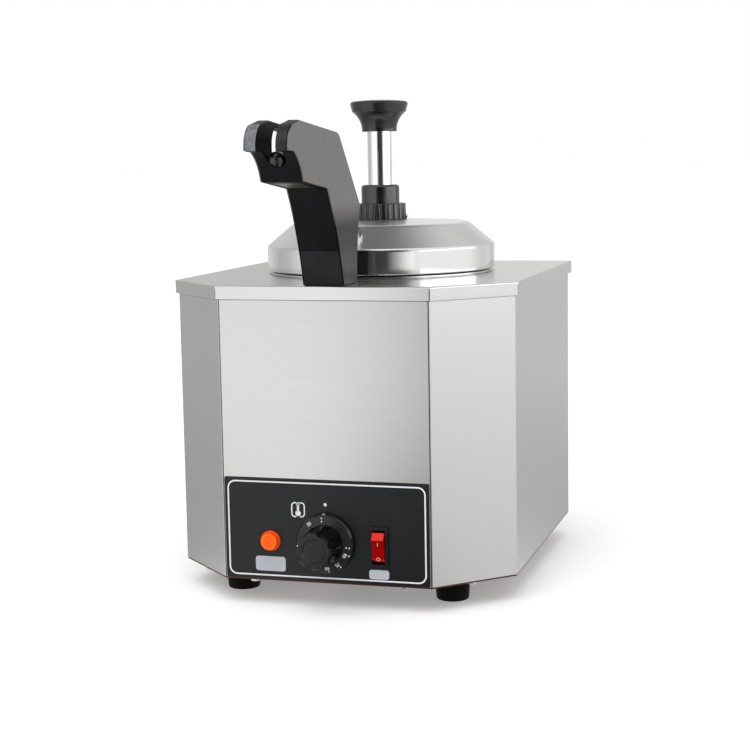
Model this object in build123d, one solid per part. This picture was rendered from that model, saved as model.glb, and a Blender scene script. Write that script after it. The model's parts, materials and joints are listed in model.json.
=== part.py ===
"""Counter-top topping warmer: a heated well with a lift-out jar, a hand pump and a heated spout arm.

Millimetres.  +Z is up, the operator stands on the -Y side and +X is on the operator's right.
The origin is the middle of the footprint, nose of the spout arm included, on the surface it stands on.
Most heights are taken from the top of the deck, and most depths from the front edge of the deck.
"""
from build123d import *
import math
import os

# ---------------------------------------------------------------- driving dimensions
# deck and cabinet
deck_width = 265.0
deck_depth = 280.5
deck_chamfer = 52.5
deck_skirt = 10.0
deck_overhang = 2.5
sheet = 1.0
base_sheet = 1.2
panel_gap = 1.0
flange_width = 12.0
seam = 0.45

# feet
foot_height = 18.4
foot_top_r = 13.2
foot_bottom_r = 12.0
foot_front_inset_x = 50.3
foot_front_depth = 50.0
foot_rear_inset_x = 34.5
foot_rear_inset = 42.0

# screws
screw_head_r = 3.4
screw_head_h = 1.7
screw_r = 1.9
screw_length = 6.0
hole_play = 0.15

# heated well, jar and lid
well_depth_from_front = 160.0
well_inner_r = 82.0
well_depth = 176.0
room_under_well = 39.4
well_flange_r = 88.0
well_flange = 0.9
well_corner = 12.0
jar_outer_r = 78.0
jar_floor_gap = 8.0
jar_flange_r = 86.0
jar_corner = 14.0
seat_gap = 0.15
lid_r = 90.3
lid_rim_top = 21.0
lid_top_r = 69.5
lid_top_edge = 38.4
lid_height = 40.5
lid_flat_r = 26.0
lid_lip_play = 0.8
lid_lip_drop = 5.0

# pump
cylinder_bore_r = 15.5
cylinder_wall = 1.5
cylinder_top = 48.0
pump_floor_gap = 18.0
cylinder_flange_r = 23.0
cylinder_flange = 2.0
gasket = 1.6
nut_r = 20.4
nut_height = 12.8
nut_ribs = 24
nut_groove_r = 1.5
collar_r = 15.15
collar_top = 68.0
plunger_r = 9.6
plunger_wall = 1.2
stroke = 40.0
knob_clearance = 1.6
knob_r = 22.8
knob_neck_r = 13.8
knob_height = 24.8
piston_height = 14.0
piston_top = -58.0
running_fit = 0.05
spring_wire_r = 0.8
spring_mean_r = 12.0
spring_turns = 8
ball_r = 5.5
ball_seat_r = 4.5

# discharge tube
tube_r = 5.0
tube_wall = 1.0
ferrule_wall = 1.2
ferrule_rim = 2.4
ferrule_length = 5.6
tube_offset = 42.0
tube_height = 90.4
tube_diagonal = 112.0
tube_front = -80.0
tube_low_bend = 18.0
tube_high_bend = 25.0
nozzle_reach = -89.5
nozzle_wall = 1.3

# spout arm
arm_x = 1.6
arm_width = 30.6
arm_plate = 1.0
arm_plate_inset = 0.5
arm_reach = 110.6
arm_over_tube = 25.1
arm_throat_ahead = 29.0
arm_throat_drop = 21.2
arm_chin_ahead = 80.4
arm_chin_drop = 15.4
arm_base_front = 3.5
arm_base_rear = 36.9
arm_split = 25.5
arm_slot_r = 6.6
tube_rest_gap = 0.35
cartridge_r = 3.25
lead_channel_r = 3.2
arm_cover = 0.8
arm_cover_half = 9.0

# control panel
fascia_height = 75.2
fascia_margin = 0.6
fascia_sheet = 0.8
lamp_x = -42.3
lamp_rise = 29.0
lamp_r = 7.4
lamp_barrel_r = 5.8
dial_x = 0.0
dial_rise = 29.3
dial_skirt_r = 21.7
dial_skirt = 2.8
dial_grip_r = 14.0
dial_reach = 29.5
dial_stand_off = 2.2
dial_flutes = 8
shaft_r = 3.0
switch_x = 40.0
switch_rise = 27.8
switch_width = 14.2
switch_height = 30.2
rocker_width = 9.0
rocker_half = 11.5
rocker_swing = 10.8

# heater and inner parts
heater_plate_r = 66.0
heater_plate = 5.0
heater_ring_r = 48.0
heater_rod_r = 4.0
insulation_wall = 15.5
bulb_r = 3.0
bulb_length = 90.0
bulb_rise = 26.0
thermostat_side = 44.0
thermostat_depth = 22.0
inlet_x = -70.0
inlet_rise = 37.4
inlet_width = 31.0
inlet_height = 25.0
inlet_flange = 2.2
wire_r = 1.4
bend_share = 0.48

# ---------------------------------------------------------------- derived places
front_y = -(deck_depth - arm_reach) / 2
body_bottom = foot_height + base_sheet
cabinet_height = well_depth + room_under_well
deck_z = body_bottom + cabinet_height
body_front = front_y + deck_overhang
body_rear = front_y + deck_depth - deck_overhang
body_half = deck_width / 2 - deck_overhang
panel_top = deck_z - sheet
slant = math.sqrt(2) - 1
corner_x = deck_width / 2 - deck_chamfer - deck_overhang * slant
corner_y = front_y + deck_chamfer + deck_overhang * slant
pump_y = front_y + well_depth_from_front
fascia_front = body_front - fascia_sheet
panel_back = body_front + sheet
cylinder_r = cylinder_bore_r + cylinder_wall
knob_bottom = collar_top + stroke + knob_clearance
arm_half = arm_width / 2 - arm_plate
well_outer_r = well_inner_r + sheet
jar_depth = well_depth - jar_floor_gap
cylinder_bottom = pump_floor_gap - jar_depth
seat_z = cylinder_bottom + 4.0
bulb_bottom = bulb_rise - well_depth
tube_depth = well_depth_from_front - tube_offset
tube_corner_depth = tube_diagonal - tube_height
arm_top = tube_height + arm_over_tube
arm_throat = (-arm_throat_ahead, tube_height - arm_throat_drop)
arm_chin = (-arm_chin_ahead, tube_height - arm_chin_drop)


# ---------------------------------------------------------------- small helpers
def y_at(depth):
    """Row Y of a distance behind the front edge of the deck."""
    return front_y + depth


def z_at(height):
    """Row Z of a height over the deck."""
    return deck_z + height


def block(x0, x1, y0, y1, z0, z1):
    """Box between two corners."""
    middle = Pos((x0 + x1) / 2, (y0 + y1) / 2, (z0 + z1) / 2)
    return middle * Box(abs(x1 - x0), abs(y1 - y0), abs(z1 - z0))


def rod_z(r, z0, z1, x=0.0, y=0.0):
    """Upright round bar."""
    return Pos(x, y, (z0 + z1) / 2) * Cylinder(r, abs(z1 - z0))


def rod_y(r, y0, y1, x=0.0, z=0.0):
    """Round bar from front to back."""
    return Pos(x, (y0 + y1) / 2, z) * Rot(90, 0, 0) * Cylinder(r, abs(y1 - y0))


def rod_x(r, x0, x1, y=0.0, z=0.0):
    """Round bar from left to right."""
    return Pos((x0 + x1) / 2, y, z) * Rot(0, 90, 0) * Cylinder(r, abs(x1 - x0))


def outline(points):
    """Closed flat outline; a third number on a point rounds that corner."""
    face = Polygon(*[(p[0], p[1]) for p in points], align=None)
    for p in points:
        if len(p) == 3:
            corner = face.vertices().sort_by_distance((p[0], p[1], 0))[0]
            face = fillet(corner, p[2])
    return face


def spun(points, x=0.0, y=0.0, z=0.0):
    """Solid of revolution about an upright axis, from radius and height points."""
    return Pos(x, y, z) * revolve(Plane.XZ * outline(points), Axis.Z)


def spun_forward(points, x, y, z):
    """Solid of revolution about an axis to the front, from radius and reach points."""
    return Pos(x, y, z) * Rot(90, 0, 0) * revolve(Plane.XZ * outline(points), Axis.Z)


def upright(points, z0, z1):
    """Plan outline pulled up between two heights."""
    return Pos(0, 0, z0) * extrude(outline(points), z1 - z0)


def plan(inset):
    """Plan of the cabinet, six corners, drawn in from the deck's edge."""
    half = deck_width / 2 - inset
    front = front_y + inset
    rear = front_y + deck_depth - inset
    cut_x = deck_width / 2 - deck_chamfer - inset * slant
    cut_y = front_y + deck_chamfer + inset * slant
    return [(-cut_x, front), (cut_x, front), (half, cut_y), (half, rear), (-half, rear), (-half, cut_y)]


def both_sides(solid):
    """The solid and its mirror image across the middle."""
    return [solid, mirror(solid, Plane.YZ)]


def save(name, *solids):
    """One STEP file for each node, one or more solids in it."""
    shape = solids[0] if len(solids) == 1 else Compound(children=list(solids))
    export_step(shape, os.path.join("parts", name + ".step"))


def drill_y(solid, holes, r, y0, y1):
    """Holes from front to back at (x, z) places."""
    for x, z in holes:
        solid -= rod_y(r, y0, y1, x, z)
    return solid


def drill_z(solid, holes, r, z0, z1):
    """Upright holes at (x, y) places."""
    for x, y in holes:
        solid -= rod_z(r, z0, z1, x, y)
    return solid


# ---------------------------------------------------------------- fastener places
chamfer_mid_x = (corner_x + body_half) / 2
chamfer_mid_y = (body_front + corner_y) / 2
edge_screw_in = sheet + screw_head_r
chamfer_in = (sheet + flange_width / 2) * math.sqrt(0.5)
chamfer_screw_in = edge_screw_in * math.sqrt(0.5)
base_screw_places = [
    (side * x, y)
    for side in (-1, 1)
    for x, y in (
        (57.0, body_front + edge_screw_in),
        (chamfer_mid_x - chamfer_screw_in, chamfer_mid_y + chamfer_screw_in),
        (body_half - sheet - flange_width / 2, corner_y + 40.0),
        (body_half - sheet - flange_width / 2, body_rear - 50.0),
    )
]
foot_front_x = deck_width / 2 - foot_front_inset_x
foot_rear_x = deck_width / 2 - foot_rear_inset_x
foot_places = {
    "foot_front_left": (-foot_front_x, y_at(foot_front_depth)),
    "foot_front_right": (foot_front_x, y_at(foot_front_depth)),
    "foot_rear_left": (-foot_rear_x, y_at(deck_depth - foot_rear_inset)),
    "foot_rear_right": (foot_rear_x, y_at(deck_depth - foot_rear_inset)),
}
rear_screw_places = [
    (side * (body_half - sheet - flange_width / 2), z)
    for side in (-1, 1)
    for z in (body_bottom + 18.0, (body_bottom + panel_top) / 2, panel_top - 18.0)
]
thermostat_screw_places = [(dial_x + side * 14.0, body_bottom + dial_rise) for side in (-1, 1)]
arm_screw_places = [(arm_x, y_at(depth)) for depth in (9.5, 31.0)]
arm_wire_y = y_at((arm_base_front + arm_base_rear) / 2)


# ---------------------------------------------------------------- cabinet
def deck_cap():
    """Folded lid of the cabinet: flat deck, skirt, open corner seams and the round well opening."""
    shell = upright(plan(0), deck_z - deck_skirt, deck_z)
    shell = fillet(shell.faces().sort_by(Axis.Z)[-1].edges(), 1.2)
    shell -= upright(plan(sheet), deck_z - deck_skirt, deck_z - sheet)
    outer = plan(-1.0)
    inner = plan(sheet + 1.0)
    for (x0, y0), (x1, y1) in zip(outer, inner):
        length = math.hypot(x1 - x0, y1 - y0)
        angle = math.degrees(math.atan2(y1 - y0, x1 - x0))
        cut = Box(length, seam, deck_skirt - sheet)
        middle = Pos((x0 + x1) / 2, (y0 + y1) / 2, deck_z - sheet - deck_skirt / 2 - sheet / 2)
        shell -= middle * Rot(0, 0, angle) * cut
    shell -= rod_z(well_outer_r + 0.4, deck_z - 2 * sheet, deck_z + sheet, 0, pump_y)
    shell = drill_z(shell, arm_screw_places, screw_r + hole_play, deck_z - 2 * sheet, deck_z + sheet)
    return drill_z(shell, [(arm_x, arm_wire_y)], lead_channel_r + 0.8, deck_z - 2 * sheet, deck_z + sheet)


def front_panel():
    """Flat front sheet with folded edges behind it and a foot along the base."""
    half = corner_x - panel_gap
    panel = block(-half, half, body_front, panel_back, body_bottom, panel_top)
    fold_bottom = body_bottom + 2 * flange_width
    fold = panel_back + 10.0
    for side in (-1, 1):
        panel += block(side * half, side * (half - sheet), panel_back, fold, fold_bottom, panel_top)
    foot_half = half - flange_width
    flange_top = body_bottom + sheet
    panel += block(-foot_half, foot_half, panel_back, panel_back + flange_width, body_bottom, flange_top)
    panel = drill_z(panel, base_screw_places, screw_r + hole_play, body_bottom - 1, body_bottom + 2 * sheet)
    front = body_front - 1
    rear = panel_back + 1
    panel -= rod_y(lamp_barrel_r + hole_play, front, rear, lamp_x, body_bottom + lamp_rise)
    panel -= rod_y(shaft_r + 2.4, front, rear, dial_x, body_bottom + dial_rise)
    panel = drill_y(panel, thermostat_screw_places, screw_r + hole_play, body_front - 1, panel_back + 1)
    return panel - switch_cutout()


def side_wrap():
    """Right-hand wrap: front chamfer and side in one folded sheet, with a return behind the rear panel."""
    end = body_rear - sheet
    tip = flange_width + 2.0
    bend = sheet * math.sqrt(0.5)
    points = [
        (corner_x, body_front),
        (body_half, corner_y, 1.5),
        (body_half, end, 1.5),
        (body_half - tip, end),
        (body_half - tip, end - sheet),
        (body_half - sheet, end - sheet, 0.5),
        (body_half - sheet, corner_y + sheet * slant, 0.5),
        (corner_x - bend, body_front + bend),
    ]
    wrap = upright(points, body_bottom, panel_top)
    inside = body_half - sheet
    flange_top = body_bottom + sheet
    side_foot = block(inside - flange_width, inside, corner_y + 10.0, end - 20.0, body_bottom, flange_top)
    run = (deck_chamfer - 2 * flange_width) * math.sqrt(2)
    centre = Pos(chamfer_mid_x - chamfer_in, chamfer_mid_y + chamfer_in, body_bottom + sheet / 2)
    slant_foot = centre * Rot(0, 0, 45) * Box(run, flange_width, sheet)
    wrap += side_foot + slant_foot
    wrap = drill_z(wrap, base_screw_places, screw_r + hole_play, body_bottom - 1, body_bottom + 2 * sheet)
    return drill_y(wrap, rear_screw_places, screw_r + hole_play, end - 2 * sheet, end + sheet)


def rear_panel():
    """Flat rear sheet with the mains inlet's opening and two rows of vent slots."""
    half = body_half - 0.2
    panel = block(-half, half, body_rear - sheet, body_rear, body_bottom, panel_top)
    panel = drill_y(panel, rear_screw_places, screw_r + hole_play, body_rear - 2 * sheet, body_rear + sheet)
    panel -= block(
        inlet_x - inlet_width / 2 + 2.0, inlet_x + inlet_width / 2 - 2.0,
        body_rear - 2 * sheet, body_rear + sheet,
        body_bottom + inlet_rise - inlet_height / 2 + 2.6, body_bottom + inlet_rise + inlet_height / 2 - 2.6,
    )
    for row in (60.0, 92.0):
        for column in range(-4, 5):
            slot = SlotOverall(22.0, 3.2)
            place = Pos(column * 11.0, body_rear + sheet, deck_z - row)
            panel -= place * Rot(90, 0, 0) * Rot(0, 0, 90) * extrude(slot, 3 * sheet)
    return panel


def base_plate():
    """Flat bottom sheet with holes for the feet, its screws and rows of vent slots."""
    plate = upright(plan(deck_overhang + 0.4), foot_height, body_bottom)
    plate = drill_z(plate, base_screw_places, screw_r + hole_play, foot_height - 1, body_bottom + 1)
    plate = drill_z(plate, foot_places.values(), 2.4 + hole_play, foot_height - 1, body_bottom + 1)
    for column in range(-3, 4):
        slot = Pos(column * 14.0, pump_y, foot_height - 1) * Rot(0, 0, 90) * SlotOverall(60.0, 4.0)
        plate -= extrude(slot, 3 * base_sheet)
    return plate


def foot(x, y):
    """Rubber foot, tapered, with the screw's recess from below."""
    points = [
        (2.4, 8.0), (2.4, foot_height), (foot_top_r, foot_height), (foot_top_r, foot_height - 3.0),
        (foot_bottom_r, 0.0, 1.6), (5.6, 0.0), (5.6, 8.0),
    ]
    return spun(points, x, y)


def foot_screw(x, y):
    """Screw, washer and nut of one foot."""
    screw = rod_z(4.4, 4.6, 8.0, x, y) + rod_z(2.3, 7.0, body_bottom + 6.0, x, y)
    nut = Pos(x, y, body_bottom) * extrude(RegularPolygon(4.6, 6), 4.0)
    return screw + nut - Pos(x, y, 4.6) * extrude(Rectangle(6.0, 1.0), 1.2)


def pan_screw_up(x, y, z):
    """Pan-head screw driven upwards, head under the height given."""
    head = fillet(rod_z(screw_head_r, z - screw_head_h, z, x, y).edges().sort_by(Axis.Z)[0], 0.8)
    head -= Pos(x, y, z - screw_head_h) * Box(4.0, 0.8, 1.2)
    head -= Pos(x, y, z - screw_head_h) * Box(0.8, 4.0, 1.2)
    return head + rod_z(screw_r, z - 0.1, z + screw_length, x, y)


def pan_screw_in(x, y, z, turn):
    """Pan-head screw driven along Y; turn 1 has its head on the rear side, -1 on the front side."""
    head = rod_y(screw_head_r, y, y + turn * screw_head_h, x, z)
    outer = head.edges().sort_by(Axis.Y)[-1 if turn > 0 else 0]
    head = fillet(outer, 0.8)
    head -= Pos(x, y + turn * screw_head_h, z) * Box(4.0, 1.2, 0.8)
    head -= Pos(x, y + turn * screw_head_h, z) * Box(0.8, 1.2, 4.0)
    return head + rod_y(screw_r, y + turn * 0.1, y - turn * screw_length, x, z)


# ---------------------------------------------------------------- control panel
def switch_cutout():
    """Opening in the front sheets for the switch body."""
    half_x = switch_width / 2 - 0.8
    half_z = switch_height / 2 - 1.4
    z = body_bottom + switch_rise
    left = switch_x - half_x
    right = switch_x + half_x
    return block(left, right, fascia_front - 1, panel_back + 1, z - half_z, z + half_z)


def control_fascia():
    """Thin dark plate on the lower front that carries the lamp, dial and switch."""
    half = corner_x - panel_gap - fascia_margin
    bottom = body_bottom + 0.2
    plate = block(-half, half, fascia_front, body_front, bottom, bottom + fascia_height)
    plate = fillet(plate.edges().filter_by(Axis.Y), 1.2)
    front = fascia_front - 1
    rear = body_front + 1
    plate -= rod_y(lamp_barrel_r + hole_play, front, rear, lamp_x, body_bottom + lamp_rise)
    plate -= rod_y(shaft_r + 2.4, front, rear, dial_x, body_bottom + dial_rise)
    plate = drill_y(plate, thermostat_screw_places, screw_r + hole_play, fascia_front - 1, body_front + 1)
    return plate - switch_cutout()


def heat_lamp_lens():
    """Round lens of the heating lamp, with a rolled front edge."""
    points = [
        (0, 0), (lamp_r, 0), (lamp_r, 1.2, 0.4), (lamp_r - 0.5, 1.4), (lamp_r - 0.9, 5.0, 1.6), (0, 5.6),
    ]
    return spun_forward(points, lamp_x, fascia_front, body_bottom + lamp_rise)


def heat_lamp_body():
    """Barrel behind the lens with its nut and two tabs."""
    z = body_bottom + lamp_rise
    body = rod_y(lamp_barrel_r, fascia_front, panel_back + 22.0, lamp_x, z)
    body += rod_y(8.6, panel_back, panel_back + 4.0, lamp_x, z)
    for side in (-1, 1):
        body += block(
            lamp_x + side * 2.5 - 0.4, lamp_x + side * 2.5 + 0.4,
            panel_back + 21.0, panel_back + 30.0, z - 2.2, z + 2.2,
        )
    return body


def rocker_pivot():
    """Place of the rocker's axle: Y and Z."""
    return fascia_front + 0.9, body_bottom + switch_rise


def power_switch_body():
    """Switch frame, its pocket for the rocker and three tabs behind."""
    pivot_y, z = rocker_pivot()
    frame_front = fascia_front - 1.8
    frame = block(
        switch_x - switch_width / 2, switch_x + switch_width / 2,
        frame_front, fascia_front, z - switch_height / 2, z + switch_height / 2,
    )
    frame = fillet(frame.edges().filter_by(Axis.Y), 1.4)
    frame = fillet(frame.faces().sort_by(Axis.Y)[0].edges(), 0.6)
    half_x = switch_width / 2 - 0.9
    half_z = switch_height / 2 - 1.5
    rear = panel_back + 20.0
    frame += block(switch_x - half_x, switch_x + half_x, fascia_front, rear, z - half_z, z + half_z)
    pocket_x = rocker_width / 2 + 0.25
    pocket_z = rocker_half + 1.05
    frame -= block(
        switch_x - pocket_x, switch_x + pocket_x, frame_front - 1, pivot_y + 5.0, z - pocket_z, z + pocket_z,
    )
    frame -= rod_x(1.4 + running_fit, switch_x - pocket_x - 0.7, switch_x + pocket_x + 0.7, pivot_y, z)
    for row in (-8.0, 0.0, 8.0):
        frame += block(
            switch_x - 2.4, switch_x + 2.4, panel_back + 19.0, panel_back + 28.0,
            z + row - 0.4, z + row + 0.4,
        )
    return frame


def power_rocker():
    """Two-sided rocker on its axle, tilted with its lower half in: the off position."""
    pivot_y, z = rocker_pivot()
    ridge = rocker_half - 4.3
    points = [
        (-1.0, rocker_half, 0.4), (-5.4, ridge, 0.6), (-3.9, 0.0), (-5.4, -ridge, 0.6),
        (-1.0, -rocker_half, 0.4),
        (2.4, 2.0 - rocker_half, 1.0), (4.0, 0.0), (2.4, rocker_half - 2.0, 1.0),
    ]
    key = extrude(Plane.YZ * outline(points), rocker_width / 2, both=True)
    key += rod_x(1.4, -rocker_width / 2 - 0.8, rocker_width / 2 + 0.8)
    return Pos(switch_x, pivot_y, z) * Rot(rocker_swing, 0, 0) * key


def thermostat_body():
    """Capillary thermostat behind the front panel, with the bearing of its shaft."""
    z = body_bottom + dial_rise
    half = thermostat_side / 2
    body = block(
        dial_x - half, dial_x + half, panel_back, panel_back + thermostat_depth, z - half, z + half - 12.0,
    )
    body = fillet(body.edges().filter_by(Axis.Y), 3.0)
    body += rod_y(shaft_r + 2.2, fascia_front, panel_back + 1.0, dial_x, z)
    body -= rod_y(shaft_r + running_fit, fascia_front - 1.0, panel_back + 12.0, dial_x, z)
    body = drill_y(body, thermostat_screw_places, screw_r, fascia_front - 1, panel_back + screw_length)
    for side in (-1, 1):
        body += block(
            dial_x + side * 12.0 - 2.4, dial_x + side * 12.0 + 2.4,
            panel_back + thermostat_depth - 1.0, panel_back + thermostat_depth + 8.0, z - 0.4, z + 0.4,
        )
    return body


def dial_shaft():
    """Turning shaft from inside the thermostat to the middle of the dial."""
    return rod_y(shaft_r, fascia_front - dial_reach + 8.0, panel_back + 11.5, dial_x, body_bottom + dial_rise)


def dial_knob():
    """Dial: flat skirt for the scale and a fluted grip."""
    foot_reach = dial_stand_off
    skirt_reach = dial_stand_off + dial_skirt
    points = [
        (0, foot_reach), (dial_skirt_r, foot_reach), (dial_skirt_r, foot_reach + 1.0, 0.4),
        (dial_skirt_r - 1.2, skirt_reach, 0.8), (dial_grip_r + 0.6, skirt_reach + 0.8),
        (dial_grip_r - 0.9, dial_reach, 1.4), (dial_grip_r - 5.2, dial_reach),
        (dial_grip_r - 5.8, dial_reach - 0.7), (0, dial_reach - 0.7),
    ]
    knob = revolve(Plane.XZ * outline(points), Axis.Z)
    for step in range(dial_flutes):
        angle = 360.0 / dial_flutes * (step + 0.5)
        flute = Pos(dial_grip_r + 1.4, 0, skirt_reach + 1.2) * Cylinder(
            3.9, dial_reach, align=(Align.CENTER, Align.CENTER, Align.MIN)
        )
        knob -= Rot(0, 0, angle) * flute
    knob = Pos(dial_x, fascia_front, body_bottom + dial_rise) * Rot(90, 0, 0) * knob
    return knob - rod_y(shaft_r, fascia_front - dial_reach + 8.0, panel_back, dial_x, body_bottom + dial_rise)


# ---------------------------------------------------------------- well, heater and inner parts
def heating_well():
    """Deep-drawn well that hangs in the deck by its flange."""
    points = [
        (0, -well_depth), (well_outer_r, -well_depth, well_corner), (well_outer_r, 0), (well_flange_r, 0),
        (well_flange_r, well_flange), (well_inner_r, well_flange),
        (well_inner_r, sheet - well_depth, well_corner - sheet), (0, sheet - well_depth),
    ]
    return spun(points, 0, pump_y, deck_z)


def insulation_jacket():
    """Mineral wool round the well, with an upright channel for the sensor bulb."""
    inner = well_outer_r + 0.1
    bottom = z_at(-well_depth + well_corner)
    top = z_at(-deck_skirt)
    outer = inner + insulation_wall
    jacket = rod_z(outer, bottom, top, 0, pump_y) - rod_z(inner, bottom - 1, top + 1, 0, pump_y)
    half = bulb_r + 2.0
    return jacket - block(-half, half, pump_y - outer - 2, pump_y - inner + 4, bottom - 1, top + 1)


def heater_disc():
    """Aluminium plate pressed against the bottom of the well."""
    top = z_at(-well_depth)
    return rod_z(heater_plate_r, top - heater_plate, top, 0, pump_y)


def heater_ring():
    """Round heating rod under the plate, open at the front, with its two cold ends."""
    z = z_at(-well_depth - heater_plate - heater_rod_r)
    gap = 30.0
    start = math.radians(-90 + gap / 2)
    arc = CenterArc((0, 0), heater_ring_r, -90 + gap / 2, 360 - gap)
    section = Plane(origin=arc @ 0, z_dir=arc % 0) * Circle(heater_rod_r)
    ring = sweep(section, path=arc)
    for side in (-1, 1):
        x = side * heater_ring_r * math.cos(start)
        y = heater_ring_r * math.sin(start)
        ring += Pos(x, y, 0) * Sphere(heater_rod_r)
        ring += rod_z(heater_rod_r, -8.0, 0, x, y) + rod_z(1.6, -13.0, -8.0, x, y)
    return Pos(0, pump_y, z) * ring


def heater_strap():
    """Bar that clamps the heating rod up to the plate."""
    top = z_at(-well_depth - heater_plate - 2 * heater_rod_r) - 0.05
    reach = heater_ring_r + 10.0
    strap = block(-reach, reach, pump_y - 8, pump_y + 8, top - 2.0, top)
    strap = fillet(strap.edges().filter_by(Axis.Z), 3.0)
    return strap - rod_z(3.0 + hole_play, top - 3, top + 1, 0, pump_y)


def heater_stud():
    """Stud from the plate through the strap, with its nut."""
    plate_bottom = z_at(-well_depth - heater_plate)
    strap_bottom = plate_bottom - 2 * heater_rod_r - 2.05
    stud = rod_z(3.0, strap_bottom - 7.0, plate_bottom, 0, pump_y)
    return stud + Pos(0, pump_y, strap_bottom - 4.5) * extrude(RegularPolygon(5.8, 6), 4.5)


def safety_cutout():
    """Overheat cut-out on the heater plate, with its two tabs."""
    top = z_at(-well_depth - heater_plate)
    y = pump_y + 26.0
    body = rod_z(8.0, top - 8.0, top, 0, y)
    for side in (-1, 1):
        body += block(side * 4.0 - 0.4, side * 4.0 + 0.4, y - 2.4, y + 2.4, top - 14.0, top - 8.0)
    return body


def sensor_bulb():
    """Sensing bulb of the thermostat, upright against the wall of the well."""
    y = pump_y - well_outer_r - bulb_r - 0.1
    bottom = z_at(bulb_bottom)
    return fillet(rod_z(bulb_r, bottom, bottom + bulb_length, 0, y).edges(), 1.2)


def capillary_tube():
    """Fine copper tube from the thermostat to the lower end of the bulb."""
    z = body_bottom + dial_rise
    bulb_y = pump_y - well_outer_r - bulb_r - 0.1
    points = [
        (0, panel_back + thermostat_depth, z - 12.0),
        (0, panel_back + thermostat_depth + 12.0, z - 12.0),
        (0, bulb_y, z - 12.0),
        (0, bulb_y, z_at(bulb_bottom)),
    ]
    return swept(points, 0.8, [5.0, 12.0])


def swept(points, r, radii):
    """Round rod along straight runs joined by arcs; a corner in line with its neighbours is left out."""
    kept = [points[0]]
    kept_radii = []
    for before, here, after, radius in zip(points, points[1:], points[2:], radii):
        run_in = (Vector(*here) - Vector(*before)).normalized()
        run_out = (Vector(*after) - Vector(*here)).normalized()
        turn = run_in.get_angle(run_out)
        if turn > 1.0:
            shortest = min((Vector(*here) - Vector(*before)).length, (Vector(*after) - Vector(*here)).length)
            kept.append(here)
            kept_radii.append(min(radius, bend_share * shortest / math.tan(math.radians(turn / 2))))
    kept.append(points[-1])
    path = FilletPolyline(*kept, radius=kept_radii)
    section = Plane(origin=path @ 0, z_dir=path % 0) * Circle(r)
    return sweep(section, path=path)


def terminal_block():
    """Terminal block on the base plate."""
    block_x = -46.0
    block_y = body_rear - 40.0
    body = block(block_x - 20, block_x + 20, block_y - 9, block_y + 9, body_bottom, body_bottom + 15.0)
    for column in (-12.0, 0.0, 12.0):
        for row in (-4.5, 4.5):
            body -= rod_z(2.2, body_bottom + 10.0, body_bottom + 16.0, block_x + column, block_y + row)
    return body


def power_inlet():
    """Mains inlet socket in the rear panel: flange, box and the hollow for the plug."""
    z = body_bottom + inlet_rise
    flange = block(
        inlet_x - inlet_width / 2, inlet_x + inlet_width / 2,
        body_rear, body_rear + inlet_flange, z - inlet_height / 2, z + inlet_height / 2,
    )
    flange = fillet(flange.edges().filter_by(Axis.Y), 2.5)
    half_x = inlet_width / 2 - 2.1
    half_z = inlet_height / 2 - 2.7
    flange += block(inlet_x - half_x, inlet_x + half_x, body_rear - 18.0, body_rear, z - half_z, z + half_z)
    hollow = [(-12.1, -8.3), (12.1, -8.3), (12.1, 3.4), (7.2, 8.3), (-7.2, 8.3), (-12.1, 3.4)]
    pocket = extrude(Rot(90, 0, 0) * outline(hollow), 17.0)
    return flange - Pos(inlet_x, body_rear + inlet_flange + 1.0, z) * pocket


def inlet_pins():
    """Three blades of the inlet."""
    z = body_bottom + inlet_rise
    pins = []
    for x, row in ((-7.0, -2.0), (0.0, 2.0), (7.0, -2.0)):
        pins.append(block(
            inlet_x + x - 1.0, inlet_x + x + 1.0, body_rear - 13.8, body_rear - 3.0,
            z + row - 2.0, z + row + 2.0,
        ))
    return pins


def wiring_loom():
    """Leads inside the cabinet: inlet, switch, lamp, thermostat, well heater and spout heater."""
    low = body_bottom + 6.0
    block_x = -46.0
    block_y = body_rear - 40.0
    inlet_z = body_bottom + inlet_rise
    switch_z = body_bottom + switch_rise
    dial_z = body_bottom + dial_rise
    heater_z = z_at(-well_depth - heater_plate - heater_rod_r) - 13.0
    heater_x = heater_ring_r * math.sin(math.radians(15.0))
    heater_y = pump_y - heater_ring_r * math.cos(math.radians(15.0))
    ring_clear = heater_x + 22.0
    return [
        swept([
            (inlet_x, body_rear - 18.0, inlet_z), (inlet_x, body_rear - 30.0, inlet_z),
            (inlet_x, block_y, low + 0.62 * (inlet_z - low)), (inlet_x, block_y, low),
            (block_x - 20.0, block_y, low),
        ], wire_r, [5.0, 5.0, 3.0]),
        swept([
            (block_x + 12.0, block_y - 9.0, low), (block_x + 12.0, block_y - 30.0, low),
            (switch_x, panel_back + 52.0, low), (switch_x, panel_back + 52.0, switch_z - 8.0),
            (switch_x, panel_back + 28.0, switch_z - 8.0),
        ], wire_r, [12.0, 8.0, 8.0]),
        swept([
            (switch_x, panel_back + 28.0, switch_z + 8.0), (switch_x, panel_back + 38.0, switch_z + 8.0),
            (12.0, panel_back + 42.0, dial_z), (12.0, panel_back + 30.0, dial_z),
        ], wire_r, [5.0, 5.0]),
        swept([
            (-12.0, panel_back + 30.0, dial_z), (-12.0, panel_back + 40.0, dial_z),
            (-ring_clear, panel_back + 46.0, heater_z - 4.0), (-heater_x, heater_y, heater_z - 4.0),
            (-heater_x, heater_y, heater_z),
        ], wire_r, [5.0, 8.0, 1.8]),
        swept([
            (lamp_x - 2.5, panel_back + 30.0, dial_z + 0.8), (lamp_x - 2.5, panel_back + 44.0, dial_z + 0.8),
            (arm_x, panel_back + 44.0, z_at(-60.0)), (arm_x, arm_wire_y, z_at(-30.0)),
            (arm_x, arm_wire_y, z_at(0.0)),
        ], wire_r, [8.0, 10.0, 6.0]),
    ]


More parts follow.
